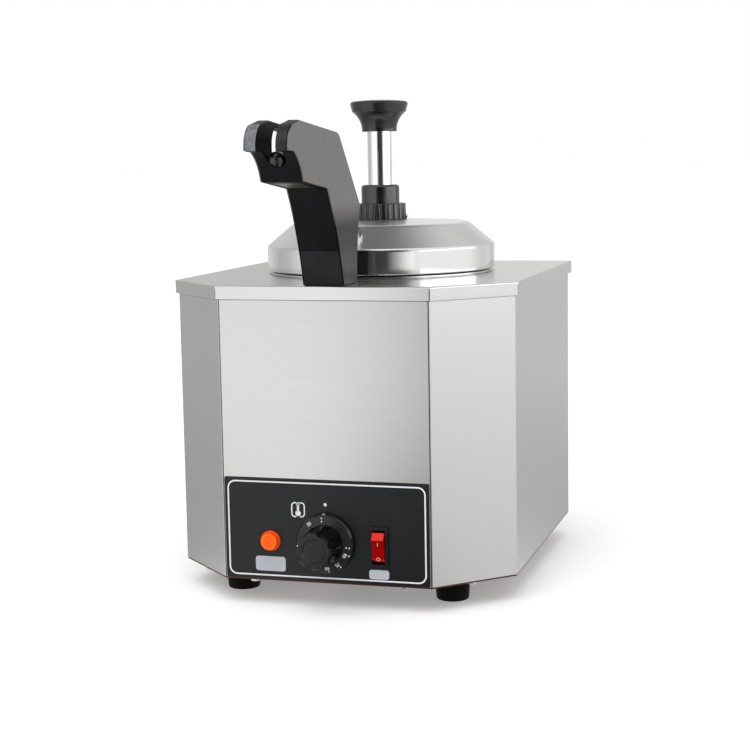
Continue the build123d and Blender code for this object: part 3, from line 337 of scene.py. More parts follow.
class Surface:
    """Surface of a node, felt with a straight line from the front."""

    def __init__(self, node):
        mesh = frame["nodes"][node].data
        self.tree = BVHTree.FromPolygons(
            [vertex.co for vertex in mesh.vertices], [face.vertices for face in mesh.polygons]
        )

    def seat(self, x, z, up=UPWARD):
        """Place for a flat mark that reaches a little into the surface, its top towards up."""
        point, normal = self.tree.ray_cast(Vector((x, -1.0, z)), Vector((0.0, 1.0, 0.0)))[:2]
        if normal.y > 0:
            normal.negate()
        side = Vector(up).cross(normal).normalized()
        turned_to = Matrix((side, normal.cross(side), normal)).transposed().to_4x4()
        return Matrix.Translation(point - MARK_SINK * normal) @ turned_to


def seated(target, flat, place):
    """Adds one flat mark, made a plate that stands as far out as it is sunk, to the marks of a piece."""
    thicken(flat, 2 * MARK_SINK, place)
    add_to(target, flat)


def numeral_mesh(bm, text, height):
    """Adds a plain number as flat faces."""
    curve = bpy.data.curves.new("numeral", "FONT")
    curve.body = text
    curve.size = height
    curve.offset = 0.00004
    curve.align_x = "CENTER"
    curve.align_y = "CENTER"
    curve.resolution_u = 3
    carrier = bpy.data.objects.new("numeral", curve)
    flat = bpy.data.meshes.new_from_object(carrier)
    bm.from_mesh(flat)
    bpy.data.objects.remove(carrier)
    bpy.data.curves.remove(curve)
    bpy.data.meshes.remove(flat)


# ---- nodes
def sum_of(tree, operation, first, second):
    """Result of a Math node; each side is an output or a number."""
    node = tree.nodes.new("ShaderNodeMath")
    node.operation = operation
    for side, value in enumerate((first, second)):
        if isinstance(value, float):
            node.inputs[side].default_value = value
        else:
            tree.links.new(value, node.inputs[side])
    return node.outputs["Value"]


def length_of(tree, vector):
    """Length of a vector."""
    node = tree.nodes.new("ShaderNodeVectorMath")
    node.operation = "LENGTH"
    tree.links.new(vector, node.inputs[0])
    return node.outputs["Value"]


def axes_of(tree, vector=None):
    """X, Y and Z of a vector, the object coordinates unless another is given."""
    if vector is None:
        vector = tree.nodes.new("ShaderNodeTexCoord").outputs["Object"]
    node = tree.nodes.new("ShaderNodeSeparateXYZ")
    tree.links.new(vector, node.inputs[0])
    return node.outputs


def moved(tree, value, low, high, new_low=0.0, new_high=1.0):
    """Value moved from one range to another and kept inside it."""
    node = tree.nodes.new("ShaderNodeMapRange")
    limits = {"From Min": low, "From Max": high, "To Min": new_low, "To Max": new_high}
    for name, limit in limits.items():
        node.inputs[name].default_value = limit
    tree.links.new(value, node.inputs["Value"])
    return node.outputs["Result"]


# ---- finishes
class Recipe:
    """Node tree of one finish, with short calls to add nodes and join them."""

    def __init__(self, name, base, roughness, metallic=0.0):
        self.material = bpy.data.materials.new(name)
        self.material.use_nodes = True
        self.tree = self.material.node_tree
        self.shader = self.tree.nodes["Principled BSDF"]
        self.base = Vector(base)
        self.roughness = roughness
        self.set("Base Color", (*base, 1.0))
        self.set("Roughness", roughness)
        self.set("Metallic", metallic)

    def set(self, socket, value):
        """Sets one value of the shader."""
        self.shader.inputs[socket].default_value = value
        return self

    def add(self, kind, **inputs):
        """New node with some of its inputs set."""
        node = self.tree.nodes.new(kind)
        for name, value in inputs.items():
            node.inputs[name.replace("_", " ")].default_value = value
        return node

    def join(self, source, node, socket):
        """Link from an output to one input of a node."""
        self.tree.links.new(source, node.inputs[socket])

    def place(self, shift, stretch):
        """Object coordinates, moved and then stretched."""
        source = self.add("ShaderNodeTexCoord").outputs["Object"]
        mapping = self.add("ShaderNodeMapping", Scale=stretch)
        mapping.inputs["Location"].default_value = [-a * b for a, b in zip(shift, stretch)]
        self.join(source, mapping, "Vector")
        return mapping.outputs["Vector"]

    def cloud(self, waves, detail=3.0, shift=HERE):
        """Cloudy pattern with its own number of waves in a metre along X, Y and Z."""
        texture = self.add("ShaderNodeTexNoise", Scale=1.0, Detail=detail)
        self.join(self.place(shift, waves), texture, "Vector")
        return texture.outputs["Fac"]

    def lines(self, value, waves, detail):
        """Pattern that runs along one value."""
        texture = self.add("ShaderNodeTexNoise", Scale=1.0, Detail=detail)
        texture.noise_dimensions = "1D"
        self.join(sum_of(self.tree, "MULTIPLY", value, waves), texture, "W")
        return texture.outputs["Fac"]

    def rings(self, axis, waves, detail):
        """Turned lines round an upright axis."""
        return self.lines(self.reach_of(axis), waves, detail)

    def sectors(self, axis, waves, detail):
        """Streaks that run out from an upright axis; the seam is at the rear."""
        split = axes_of(self.tree, self.place(axis, (1.0, -1.0, 0.0)))
        return self.lines(sum_of(self.tree, "ARCTAN2", split["X"], split["Y"]), waves, detail)

    def reach_of(self, axis, across=(1.0, 1.0, 0.0)):
        """Distance from an axis, an upright one unless across says otherwise."""
        return length_of(self.tree, self.place(axis, across))

    def height(self, way=1.0):
        """Height, or its negative where the way is down."""
        return axes_of(self.tree, self.place(HERE, (1.0, 1.0, way)))["Z"]

    def band(self, level, blur):
        """One over a height, nought under it."""
        return moved(self.tree, axes_of(self.tree)["Z"], level - blur, level + blur)

    def mask_relief(self, mask):
        """Keeps the relief only where a mask is one."""
        self.join(mask, self.kept("Normal").node, "Strength")

    def kept(self, socket):
        """What feeds a socket of the shader by now."""
        return self.shader.inputs[socket].links[0].from_socket

    def blend_roughness(self, mask, low):
        """Keeps the roughness where a mask is one and gives another where it is nought."""
        mix = self.add("ShaderNodeMix", A=low)
        self.join(mask, mix, "Factor")
        self.join(self.kept("Roughness"), mix, "B")
        self.join(mix.outputs["Result"], self.shader, "Roughness")

    def mix_base(self, factor, other):
        """Base colour that turns into another; gives the node that mixes them."""
        mix = self.add("ShaderNodeMix")
        mix.data_type = "RGBA"
        mix.inputs["B"].default_value = (*other, 1.0)
        self.join(factor, mix, "Factor")
        self.join(mix.outputs["Result"], self.shader, "Base Color")
        return mix

    def edge_colour(self, pattern, level, other):
        """Another base colour where a pattern is over a level."""
        before = self.kept("Base Color")
        self.join(before, self.mix_base(moved(self.tree, pattern, level, level + COLOUR_BLUR), other), "A")

    def fade(self, axis, low, high, share):
        """Darkens the base colour to a share at the low end of an axis."""
        scale = self.add("ShaderNodeVectorMath")
        scale.operation = "SCALE"
        self.join(self.kept("Base Color"), scale, 0)
        self.join(moved(self.tree, axes_of(self.tree)[axis], low, high, share), scale, "Scale")
        self.join(scale.outputs["Vector"], self.shader, "Base Color")
        return self

    def spread(self, pattern, low, high):
        """Turns a pattern into a value between two limits."""
        return moved(self.tree, pattern, 0.3, 0.7, low, high)

    def shade(self, pattern, low, high):
        """Base colour that a pattern makes darker and lighter."""
        mix = self.mix_base(self.spread(pattern, 0.0, 1.0), self.base * high)
        mix.inputs["A"].default_value = (*(self.base * low), 1.0)
        return self

    def polish(self, pattern, change):
        """Roughness that a pattern raises and lowers."""
        low = max(self.roughness - change, 0.02)
        self.join(self.spread(pattern, low, self.roughness + change), self.shader, "Roughness")
        return self

    def relief(self, pattern, depth):
        """Fine relief."""
        bump = self.add("ShaderNodeBump", Strength=1.0, Distance=depth)
        self.join(pattern, bump, "Height")
        self.join(bump.outputs["Normal"], self.shader, "Normal")
        return self


def brushed(name, base, roughness, grain, depth=0.0000015, tone=0.012, change=0.015):
    """Brushed metal; grain gives the waves in a metre along X, Y and Z."""
    recipe = Recipe(name, base, roughness, 1.0)
    lines = recipe.cloud(grain, 4.0)
    recipe.shade(lines, 1.0 - tone, 1.0 + tone)
    recipe.polish(recipe.cloud([wave * 0.5 for wave in grain], 3.0, (0.3, 0.1, 0.2)), change)
    recipe.relief(lines, depth)
    return recipe


def turned(name, base, roughness, depth=0.000003, tone=0.015):
    """Metal turned round the pump's axis, with faint streaks across the lines painted into its colour as painted
    reflection streaks.
    """
    recipe = Recipe(name, base, roughness, 1.0)
    lines = recipe.rings(pump_axis(), 2600.0, 3.0)
    # Painted reflection: radial streaks in the base colour.
    recipe.shade(recipe.sectors(pump_axis(), 26.0, 3.0), 1.0 - tone, 1.0 + tone)
    recipe.polish(lines, 0.02)
    recipe.relief(lines, depth)
    return recipe


def plain_metal(name, base, roughness):
    """Smooth metal with faint clouding."""
    recipe = Recipe(name, base, roughness, 1.0)
    recipe.shade(recipe.cloud((60.0, 60.0, 60.0)), 0.93, 1.03)
    recipe.polish(recipe.cloud((220.0, 220.0, 220.0), 3.0, (0.2, 0.4, 0.1)), 0.04)
    return recipe.material


def moulded(name, base, roughness, gloss=0.3, waves=1400.0, depth=0.00001, tone=0.1):
    """Moulded plastic, ink or powder coat with a fine grain."""
    recipe = Recipe(name, base, roughness)
    recipe.shade(recipe.cloud((45.0, 45.0, 45.0)), 1.0 - tone, 1.0 + tone)
    recipe.polish(recipe.cloud((waves / 3, waves / 3, waves / 3), 2.0, (0.1, 0.2, 0.3)), 0.04)
    recipe.relief(recipe.cloud((waves, waves, waves), 2.0), depth)
    recipe.set("Specular IOR Level", gloss)
    return recipe.material


def painted_sheen_finish(colours):
    """Painted sheen: lighter grey on the front of the arm's two ears, stronger on the left one, in place of
    reflected light.
    """
    recipe = Recipe("arm_black_painted_sheen", colours.arm_painted_sheen, 0.38)
    recipe.shade(recipe.cloud((330.0, 330.0, 200.0), 5.0), 0.5, 1.3)
    middle = centre("spout_housing").x
    half_gap = 0.006
    recipe.fade("X", middle + half_gap, middle - half_gap, 0.12)
    recipe.relief(recipe.cloud((1100.0, 1100.0, 1100.0), 2.0), 0.00004)
    recipe.set("Specular IOR Level", 0.3)
    return recipe.material


def dial_finish(colours):
    """Dark grip in a greyer skirt."""
    recipe = Recipe("dial_black_satin", colours.dial_black, 0.20)
    recipe.shade(recipe.cloud((45.0, 45.0, 45.0)), 0.9, 1.1)
    reach = recipe.reach_of(centre("dial_knob"), (1.0, 0.0, 1.0))
    recipe.edge_colour(reach, span("dial_knob").x * 0.34, colours.dial_black * 1.6)
    recipe.relief(recipe.cloud((1800.0, 1800.0, 1800.0), 2.0), 0.000004)
    recipe.set("Specular IOR Level", 0.45)
    return recipe.material


def lens_finish(colours):
    """Glossy orange lens, lit a little from within, with a painted highlight ring and a painted shade at its rim."""
    recipe = Recipe("lens_orange_gloss", colours.lens_orange, 0.22)
    recipe.shade(recipe.cloud((160.0, 160.0, 160.0)), 0.95, 1.05)
    radius = span("heat_lamp_lens").x / 2
    reach = recipe.reach_of(centre("heat_lamp_lens"), (1.0, 0.0, 1.0))
    # Painted highlight: a lighter ring inside the rim; painted shade: a darker band at the rim.
    recipe.edge_colour(reach, radius * 0.62, (1.0, 0.19, 0.020))
    recipe.edge_colour(reach, radius * 0.76, (0.80, 0.060, 0.004))
    recipe.set("Specular IOR Level", 0.12)
    recipe.set("Emission Color", (*colours.lens_orange, 1.0))
    recipe.set("Emission Strength", 0.2)
    return recipe.material


def wool_finish():
    """Mineral wool."""
    recipe = Recipe("mineral_wool", (0.62, 0.59, 0.48), 0.95)
    fibres = recipe.cloud((900.0, 900.0, 150.0), 6.0)
    recipe.shade(fibres, 0.7, 1.15)
    recipe.relief(fibres, 0.0006)
    return recipe.material


def lid_finish(colours):
    """Satin cone and polished rim of the lid, split at the rim's upper edge, with its flat top painted lighter as a
    painted highlight.
    """
    recipe = turned("lid_turned", colours.lid_steel, 0.29, 0.0000018)
    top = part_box("lid")[1].z
    rim = recipe.band(top - RIM_DROP, RIM_BLUR)
    # Painted highlight: the lid's flat top is given a lighter steel.
    recipe.edge_colour(recipe.height(), top - LID_FLAT_DROP, (0.97, 0.97, 0.965))
    recipe.edge_colour(recipe.height(-1.0), RIM_DROP - top, (0.86, 0.86, 0.855))
    recipe.blend_roughness(rim, 0.10)
    recipe.mask_relief(rim)
    return recipe.material


def jar_finish(colours):
    """Satin jar whose flange's outer edge is painted near black as a painted shade for the dark gap under the lid.
    """
    recipe = turned("jar_turned", colours.steel, 0.24)
    painted_shade_width = 0.0006
    edge = span("food_jar").x / 2 - painted_shade_width
    recipe.edge_colour(recipe.reach_of(pump_axis()), edge, (0.02, 0.02, 0.02))
    return recipe.material


# ---- cabinet
def dress_cabinet(sizes, colours):
    """Deck, sheets, base, feet and screws."""
    sheet = brushed("cabinet_brushed", colours.steel, 0.25, (22.0, 22.0, 2400.0))
    skirt_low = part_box("deck_cap")[0].z
    # Painted shade: the sheets darken to a share just under the skirt's lower edge, where the skirt shades them.
    sheet.fade("Z", skirt_low + 0.0002, skirt_low - 0.0010, 0.30)
    skirt = brushed("skirt_brushed", colours.skirt_steel, 0.19, (22.0, 22.0, 2400.0)).material
    deck = brushed("deck_brushed", colours.deck_steel, 0.25, (20.0, 1500.0, 1500.0), 0.000002, 0.02, 0.03).material
    paint = moulded("base_paint_satin", colours.base_brown, 0.42, 0.3)
    rubber = moulded("foot_rubber_matt", colours.foot_brown, 0.6, 0.08, 900.0, 0.00003)
    zinc = plain_metal("zinc_bright", (0.72, 0.72, 0.70), 0.25)
    # Near black for the downward lip of the skirt: a painted shade under the fold.
    lip_shade = plain_metal("skirt_lip_painted_shade", (0.06, 0.058, 0.055), 0.5)
    cap = rounded_copy("deck_cap", sizes.deck_bend, skirt)
    cap.data.materials.append(deck)
    cap.data.materials.append(lip_shade)
    # Top faces take the darker deck steel and the skirt the lighter skirt steel: painted light on one folded sheet.
    for face in cap.data.polygons:
        if face.normal.z > 0.9:
            face.material_index = 1
        elif face.normal.z < -0.9 and face.center.z < skirt_low + WELD:
            face.material_index = 2
    weigh_edges(cap, sizes.sheet_edge / sizes.deck_bend)
    for node in ("front_panel", "side_wrap_left", "side_wrap_right", "rear_panel"):
        rounded_copy(node, sizes.sheet_edge, sheet.material)
    rounded_copy("base_plate", sizes.sheet_edge, paint)
    finish_nodes(rubber, "foot_front_left", "foot_front_right", "foot_rear_left", "foot_rear_right")
    finish_nodes(zinc, "foot_screws", "base_screws", "rear_screws", "thermostat_screws", "spout_base_screws")


# ---- control panel
SIGN_ASIDE = 0.0208  # left of the dial's middle
SIGN_DROP = 0.1626  # heights on the plate are taken down from the deck's top
POINTER_DOT_RADIUS = 0.0012
POINTER_DOT_DROP = 0.158
# name, place across, height from the deck's top, width, height
LABEL_PLATES = (
    ("lamp_label_plate", -0.0427, -0.20365, 0.0232, 0.0110),
    ("switch_label_plate", 0.0398, -0.20765, 0.0150, 0.0071),
)
# place round the dial on a clock's face, distance from its middle, and the number
DIAL_DOTS = (
    (11.85, 0.0168), (11.85, 0.0191), (8.80, 0.0203), (6.70, 0.0203), (5.68, 0.0206), (4.76, 0.0205),
    (3.76, 0.0202), (3.20, 0.0170), (3.20, 0.0193),
)
DIAL_NUMERALS = ((10.75, 0.0180, "30"), (5.76, 0.0180, "60"), (4.85, 0.0177, "75"), (3.85, 0.0172, "90"))


def plate_outline(sizes, print_material):
    """Printed outline of the control plate."""
    middle, size = centre("control_fascia"), span("control_fascia")
    width, height = size.x - 2 * sizes.outline_inset, size.z - 2 * sizes.outline_inset
    bm = bmesh.new()
    rounded_ring(bm, width, height, sizes.outline_corner, sizes.outline_width)
    plate_mark(bm, "plate_outline", print_material, sizes.print_height, middle.x, middle.z)


def thermometer_sign(sizes, print_material):
    """Printed thermometer between two brackets."""
    gap, corner = 0.0015, 0.0028
    bulb_radius, bulb_drop = 0.0021, 0.0026
    stem_width, stem_height, stem_rise = 0.0017, 0.0042, 0.0012
    top_width, top_corner, top_line, top_rise = 0.0026, 0.00125, 0.0006, 0.0042
    ring = bmesh.new()
    rounded_ring(ring, sizes.sign_width, sizes.sign_height, corner, sizes.sign_line)
    for side in (-1, 1):
        bmesh.ops.bisect_plane(
            ring, geom=ring.verts[:] + ring.edges[:] + ring.faces[:], plane_co=(side * gap, 0, 0), plane_no=(1, 0, 0)
        )
    middle = [face for face in ring.faces if abs(face.calc_center_median().x) < gap]
    bmesh.ops.delete(ring, geom=middle, context="FACES")
    disc(ring, bulb_radius, (0.0, -bulb_drop, 0.0))
    bar(ring, stem_width, stem_height, (0.0, stem_rise, 0.0))
    top = bmesh.new()
    rounded_ring(top, top_width, top_width, top_corner, top_line, 5)
    bmesh.ops.translate(top, verts=top.verts, vec=(0.0, top_rise, 0.0))
    add_to(ring, top)
    x, z = centre("dial_knob").x - SIGN_ASIDE, deck_top() - SIGN_DROP
    plate_mark(ring, "thermometer_sign", print_material, sizes.print_height, x, z)


def dial_pointer_dot(sizes, print_material):
    """Printed dot over the dial."""
    bm = bmesh.new()
    disc(bm, POINTER_DOT_RADIUS)
    x, z = centre("dial_knob").x, deck_top() - POINTER_DOT_DROP
    plate_mark(bm, "dial_pointer_dot", print_material, sizes.print_height, x, z)


def label_plates(sizes, colours):
    """Two bare grey label plates, under the lamp and under the switch."""
    grey = moulded("label_grey_satin", colours.label_grey, 0.45, 0.35, 900.0, 0.000004, 0.04)
    for name, x, rise, width, height in LABEL_PLATES:
        bm = bmesh.new()
        rounded_plate(bm, width, height, sizes.label_corner)
        piece = plate_mark(bm, name, grey, sizes.label_height, x, deck_top() + rise)
        round_edges(piece, sizes.label_height * 0.4, 2)


def dial_marks(sizes, print_material):
    """Numbers and dots on the dial's skirt."""
    middle = centre("dial_knob")
    skirt = Surface("dial_knob")
    marks = bmesh.new()
    for clock, radius, *text in DIAL_DOTS + DIAL_NUMERALS:
        angle = math.radians(clock * 30.0)
        out = Vector((math.sin(angle), 0.0, math.cos(angle)))
        spot = middle + radius * out
        flat = bmesh.new()
        if text:
            numeral_mesh(flat, text[0], sizes.numeral_height)
        else:
            disc(flat, sizes.dot_radius, segments=12)
        seated(marks, flat, skirt.seat(spot.x, spot.z, out))
    mark(marks, "dial_marks", "dial", print_material)


def dial_nub(material):
    """Small raised pointer on the rim of the dial."""
    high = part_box("dial_knob")[1]
    middle = centre("dial_knob")
    ahead, width, depth, height = 0.0018, 0.0024, 0.0016, 0.0013
    bm = bmesh.new()
    spot = Matrix.Translation((middle.x, high.y - ahead, high.z))
    bmesh.ops.create_cube(bm, size=1.0, matrix=spot @ Matrix.Diagonal((width, depth, height, 1.0)))
    piece = make_piece(bm, "dial_nub", "dial", material)
    round_edges(piece, 0.0004, 3)


def rocker_marks(print_material):
    """Bar and ring of the power rocker."""
    line_width, line_height, line_rise = 0.0005, 0.0026, 0.0030
    ring_width, ring_corner, ring_line, ring_drop = 0.0027, 0.0013, 0.00035, 0.0080
    pivot = Vector(next(joint["pos_m"] for joint in frame["joints"] if joint["name"] == "rocker_tilt"))
    face = Surface("power_rocker")
    marks = bmesh.new()
    line = bmesh.new()
    bar(line, line_width, line_height)
    seated(marks, line, face.seat(pivot.x, pivot.z + line_rise))
    ring = bmesh.new()
    rounded_ring(ring, ring_width, ring_width, ring_corner, ring_line, 6)
    seated(marks, ring, face.seat(pivot.x, pivot.z - ring_drop))
    mark(marks, "rocker_marks", "rocker", print_material)


def dress_panel(sizes, colours):
    """Control plate, lamp, dial, switch and their marks."""
    ink = moulded("print_white_ink", colours.print_white, 0.5, 0.3, 900.0, 0.000002, 0.02)
    plate = moulded("plate_black_satin", colours.plate_black, 0.40, 0.42, 2600.0, 0.000012, 0.15)
    dial = dial_finish(colours)
    switch = moulded("switch_black_satin", colours.dial_black, 0.32, 0.35, 1800.0, 0.000008)
    red = moulded("rocker_red_gloss", colours.rocker_red, 0.24, 0.02, 500.0, 0.000003, 0.05)
    bright = moulded("rocker_red_painted_light", colours.rocker_painted_light, 0.24, 0.14, 500.0, 0.000003, 0.05)
    rounded_copy("control_fascia", sizes.fine_edge, plate)
    finish_nodes(lens_finish(colours), "heat_lamp_lens")
    finish_nodes(dial, "dial_knob")
    rounded_copy("power_switch_body", sizes.fine_edge, switch)
    rocker = rounded_copy("power_rocker", sizes.fine_edge, red)
    rocker.data.materials.append(bright)
    # The rocker's end faces take the brighter red as painted light.
    for face in rocker.data.polygons:
        face.material_index = int(abs(face.normal.z) > 0.45)
    plate_outline(sizes, ink)
    thermometer_sign(sizes, ink)
    dial_pointer_dot(sizes, ink)
    label_plates(sizes, colours)
    dial_marks(sizes, ink)
    dial_nub(moulded("nub_grey", (0.22, 0.22, 0.22), 0.4, 0.3))
    rocker_marks(moulded("rocker_ink", (0.80, 0.55, 0.52), 0.5, 0.2, 900.0, 0.000002, 0.02))


# ---- spout arm
def dress_arm(sizes, colours):
    """Housing, foot and brushed plates of the spout arm."""
    black = moulded("arm_black_satin", colours.arm_black, 0.42, 0.11, 800.0, 0.00012, 0.4)
    foot = moulded("arm_foot_satin", colours.base_black, 0.48, 0.26, 800.0, 0.00012, 0.4)
    plates = brushed("arm_brushed", colours.arm_steel, 0.36, (1500.0, 1500.0, 14.0), 0.000006, 0.06, 0.04)
    shade_low, shade_high = 0.042, 0.058
    # Painted shade: the arm's plates darken towards the deck.
    plates.fade("Z", deck_top() + shade_low, deck_top() + shade_high, 0.05)
    housing = rounded_copy("spout_housing", sizes.moulded_edge, black)
    housing.data.materials.append(painted_sheen_finish(colours))
    low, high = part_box("spout_housing")
    ear_height, ear_depth = 0.0275, 0.012
    # The fronts of the ears take the painted sheen.
    for face in housing.data.polygons:
        ahead = face.center.y < low.y + ear_depth and face.normal.y < -0.25 and abs(face.normal.x) < 0.3
        if ahead and face.center.z > high.z - ear_height:
            face.material_index = 1
    rounded_copy("spout_base", sizes.moulded_edge, foot)
    for side in ("left", "right"):
        rounded_copy("spout_side_plate_" + side, sizes.fine_edge, plates.material)
    cover = Recipe("cover_steel", (0.30, 0.285, 0.26), 0.34, 1.0)
    mottle = cover.cloud((420.0, 420.0, 420.0), 5.0)
    cover.shade(mottle, 0.45, 1.5)
    cover.relief(mottle, 0.0002)
    finish_nodes(cover.material, "spout_under_cover")


# ---- lid, jar and pump
def dress_lid(colours):
    """Lid, ferrule, jar and well."""
    finish_nodes(lid_finish(colours), "lid")
    finish_nodes(turned("rim_polished", colours.lid_steel, 0.12, 0.000002, 0.02).material, "tube_ferrule")
    finish_nodes(jar_finish(colours), "food_jar")
    finish_nodes(turned("well_turned", colours.steel, 0.20).material, "heating_well")


def dress_pump(sizes, colours):
    """Everything that the lid carries."""
    knob = moulded("knob_black_satin", colours.pump_black, 0.20, 0.75, 900.0, 0.000002, 0.05)
    black = moulded("collar_black_gloss", colours.pump_black, 0.15, 1.0, 900.0, 0.000002, 0.05)
    chrome = Recipe("plunger_chrome", colours.chrome, 0.06, 1.0)
    chrome.polish(chrome.cloud((30.0, 30.0, 400.0)), 0.02)
    chrome.shade(chrome.cloud((20.0, 20.0, 20.0)), 0.98, 1.0)
    steel = brushed("tube_brushed", (0.62, 0.62, 0.60), 0.24, (400.0, 30.0, 30.0)).material
    white = moulded("piston_white_satin", (0.78, 0.77, 0.73), 0.4, 0.4, 900.0, 0.00001, 0.03)
    seal = moulded("seal_silicone", (0.55, 0.53, 0.48), 0.55, 0.4, 900.0, 0.00002, 0.05)
    rounded_copy("lock_nut", sizes.nut_edge, black, 2)
    finish_nodes(knob, "plunger_knob")
    finish_nodes(black, "plunger_collar")
    finish_nodes(moulded("nozzle_black", colours.arm_black, 0.22, 0.8), "spout_nozzle")
    finish_nodes(chrome.material, "plunger_shaft")
    finish_nodes(steel, "discharge_tube", "pump_cylinder", "plunger_spring", "tube_nut")
    finish_nodes(white, "plunger_piston", "valve_body")
    finish_nodes(seal, "lid_gasket", "piston_seal")
    finish_nodes(plain_metal("ball_steel", (0.7, 0.7, 0.7), 0.08), "inlet_ball")


INSIDE_METALS = (
    ("pin_brass", (0.72, 0.58, 0.32), 0.25, "inlet_pins"),
    ("heater_heat_toned", (0.30, 0.25, 0.22), 0.45, "heater_ring", "spout_cartridge"),
    ("strap_steel", (0.55, 0.55, 0.54), 0.35, "heater_strap"),
    ("stud_zinc", (0.70, 0.70, 0.68), 0.3, "heater_stud", "dial_shaft"),
    ("drawn_copper", (0.72, 0.35, 0.20), 0.3, "sensor_bulb", "capillary_tube"),
)


def dress_inside(sizes):
    """Heater, controls, leads and the mains inlet."""
    rounded_copy("power_inlet", sizes.fine_edge, moulded("inlet_black", (0.016, 0.016, 0.017), 0.45, 0.4, 1200.0))
    aluminium = brushed("plate_aluminium", (0.72, 0.73, 0.74), 0.35, (300.0, 20.0, 20.0)).material
    finish_nodes(wool_finish(), "insulation_jacket")
    finish_nodes(aluminium, "heater_disc")
    for name, base, roughness, *nodes in INSIDE_METALS:
        finish_nodes(plain_metal(name, base, roughness), *nodes)
    cream = moulded("terminal_cream", (0.74, 0.69, 0.52), 0.45, 0.4, 900.0, 0.00001, 0.04)
    finish_nodes(cream, "terminal_block", "safety_cutout")
    finish_nodes(moulded("control_grey", (0.16, 0.16, 0.17), 0.5), "thermostat_body")
    finish_nodes(moulded("lamp_shell", (0.70, 0.68, 0.62), 0.5), "heat_lamp_body")
    finish_nodes(moulded("lead_sleeve", (0.42, 0.40, 0.37), 0.6), "wiring_loom")


# ---- stage
# bearing in degrees, nought at the front and plus to the right, and the level of light there
WALL_TONES = (
    (-180, 0.85), (-170, 0.84), (-159, 0.64), (-148, 0.68), (-133, 0.68), (-107, 0.47), (-90, 0.53),
    (-75, 0.72), (-55, 1.04), (-35, 1.15), (-24, 0.95), (-17, 1.2), (-12, 0.95), (-9, 0.78), (-4, 0.42),
    (0, 0.07), (3, 0.04), (38, 0.05), (43, 0.28), (49, 0.88), (55, 0.92), (103, 0.92), (115, 0.90),
    (128, 0.76), (136, 0.67), (150, 0.74), (163, 0.56), (180, 0.85),
)
LOW_CARD_TONES = (
    (-180, 0.04), (7, 0.04), (9, 0.10), (11, 0.04), (22, 0.05), (25, 0.15), (28, 0.27), (32, 0.42),
    (36, 0.62), (41, 0.86), (48, 1.05), (180, 1.05),
)
GROUND_TONES = (
    (-180, 0.85), (-159, 0.75), (-133, 0.50), (-107, 0.48), (-81, 0.66), (-55, 1.08), (-35, 1.15),
    (-24, 1.06), (-17, 1.48), (-9, 0.74), (0, 0.40), (20, 0.26), (40, 0.58), (60, 0.90), (72, 0.98),
    (100, 1.00), (140, 0.66), (163, 0.58), (180, 0.85),
)
# share of the way across the ceiling, and the level of light there
CEILING_TONES = ((0.0, 0.40), (0.22, 0.24), (0.40, 0.12), (0.55, 0.12), (0.66, 0.45), (0.78, 0.90), (1.0, 1.0))
CEILING_SIZE = 3.2
CARD_RADIUS = DRUM_RADIUS - 0.05
# name, place, strength, width of its disc in the sky
LAMPS = (
    ("key", (-0.45, -1.3, 3.0), 1.5, 60.0),
    ("fill", (1.2, -1.6, 2.2), 0.5, 90.0),
)
LAMP_TARGET = (0.0, 0.0, 0.15)
# from the middle, the deck's front edge and the deck's top
CAMERA_PLACE = Vector((0.3713, -1.1367, 0.0947))
CAMERA_TURN = math.radians(16.267)
CAMERA_TILT = math.radians(7.563)
CAMERA_ROLL = math.radians(-0.991)
SENSOR_WIDTH = 36.0
FOCAL_SHARE = 1689.9 / 750.0  # of the sensor's width


def glow_material(name, strength):
    """Plain light of one strength, with its emission node."""
    material = bpy.data.materials.new(name)
    material.use_nodes = True
    tree = material.node_tree
    tree.nodes.remove(tree.nodes["Principled BSDF"])
    glow = tree.nodes.new("ShaderNodeEmission")
    glow.inputs["Color"].default_value = WHITE
    glow.inputs["Strength"].default_value = strength
    tree.links.new(glow.outputs["Emission"], tree.nodes["Material Output"].inputs["Surface"])
    return material, glow


def stage_object(bm, name, material, gloss_only=True):
    """Reflector, which is seen in gloss only, or floor."""
    mesh = mesh_of(bm, name)
    mesh.materials.append(material)
    made = linked(name, mesh)
    if gloss_only:
        for ray in ("camera", "diffuse", "shadow", "transmission", "volume_scatter"):
            setattr(made, "visible_" + ray, False)
    return made


def ramp(tree, source, stops, blend="LINEAR"):
    """Grey ramp over a value from 0 to 1."""
    node = tree.nodes.new("ShaderNodeValToRGB")
    node.color_ramp.interpolation = blend
    elements = node.color_ramp.elements
    while len(elements) < len(stops):
        elements.new(0.5)
    for element, (position, grey) in zip(elements, stops):
        element.position = position
        element.color = (grey, grey, grey, 1.0)
    tree.links.new(source, node.inputs["Fac"])
    return node.outputs["Color"]


def bearing(tree):
    """Bearing of a place round the object as a value from 0 to 1; the front is 0.5 and the right 0.75."""
    axes = axes_of(tree)
    back = sum_of(tree, "MULTIPLY", axes["Y"], -1.0)
    return moved(tree, sum_of(tree, "ARCTAN2", axes["X"], back), -math.pi, math.pi)


def studio_glow(name, tones, near_share=1.0, blend="LINEAR"):
    """Light that depends on the bearing, and is weaker near the object by a share."""
    near = 0.2
    material, glow = glow_material(name, DRUM_STRENGTH)
    tree = material.node_tree
    stops = [((angle + 180.0) / 360.0, level / DRUM_STRENGTH) for angle, level in tones]
    tree.links.new(ramp(tree, bearing(tree), stops, blend), glow.inputs["Color"])
    reach = length_of(tree, tree.nodes["Texture Coordinate"].outputs["Object"])
    strength = moved(tree, reach, near, DRUM_RADIUS, near_share * DRUM_STRENGTH, DRUM_STRENGTH)
    tree.links.new(strength, glow.inputs["Strength"])
    return material


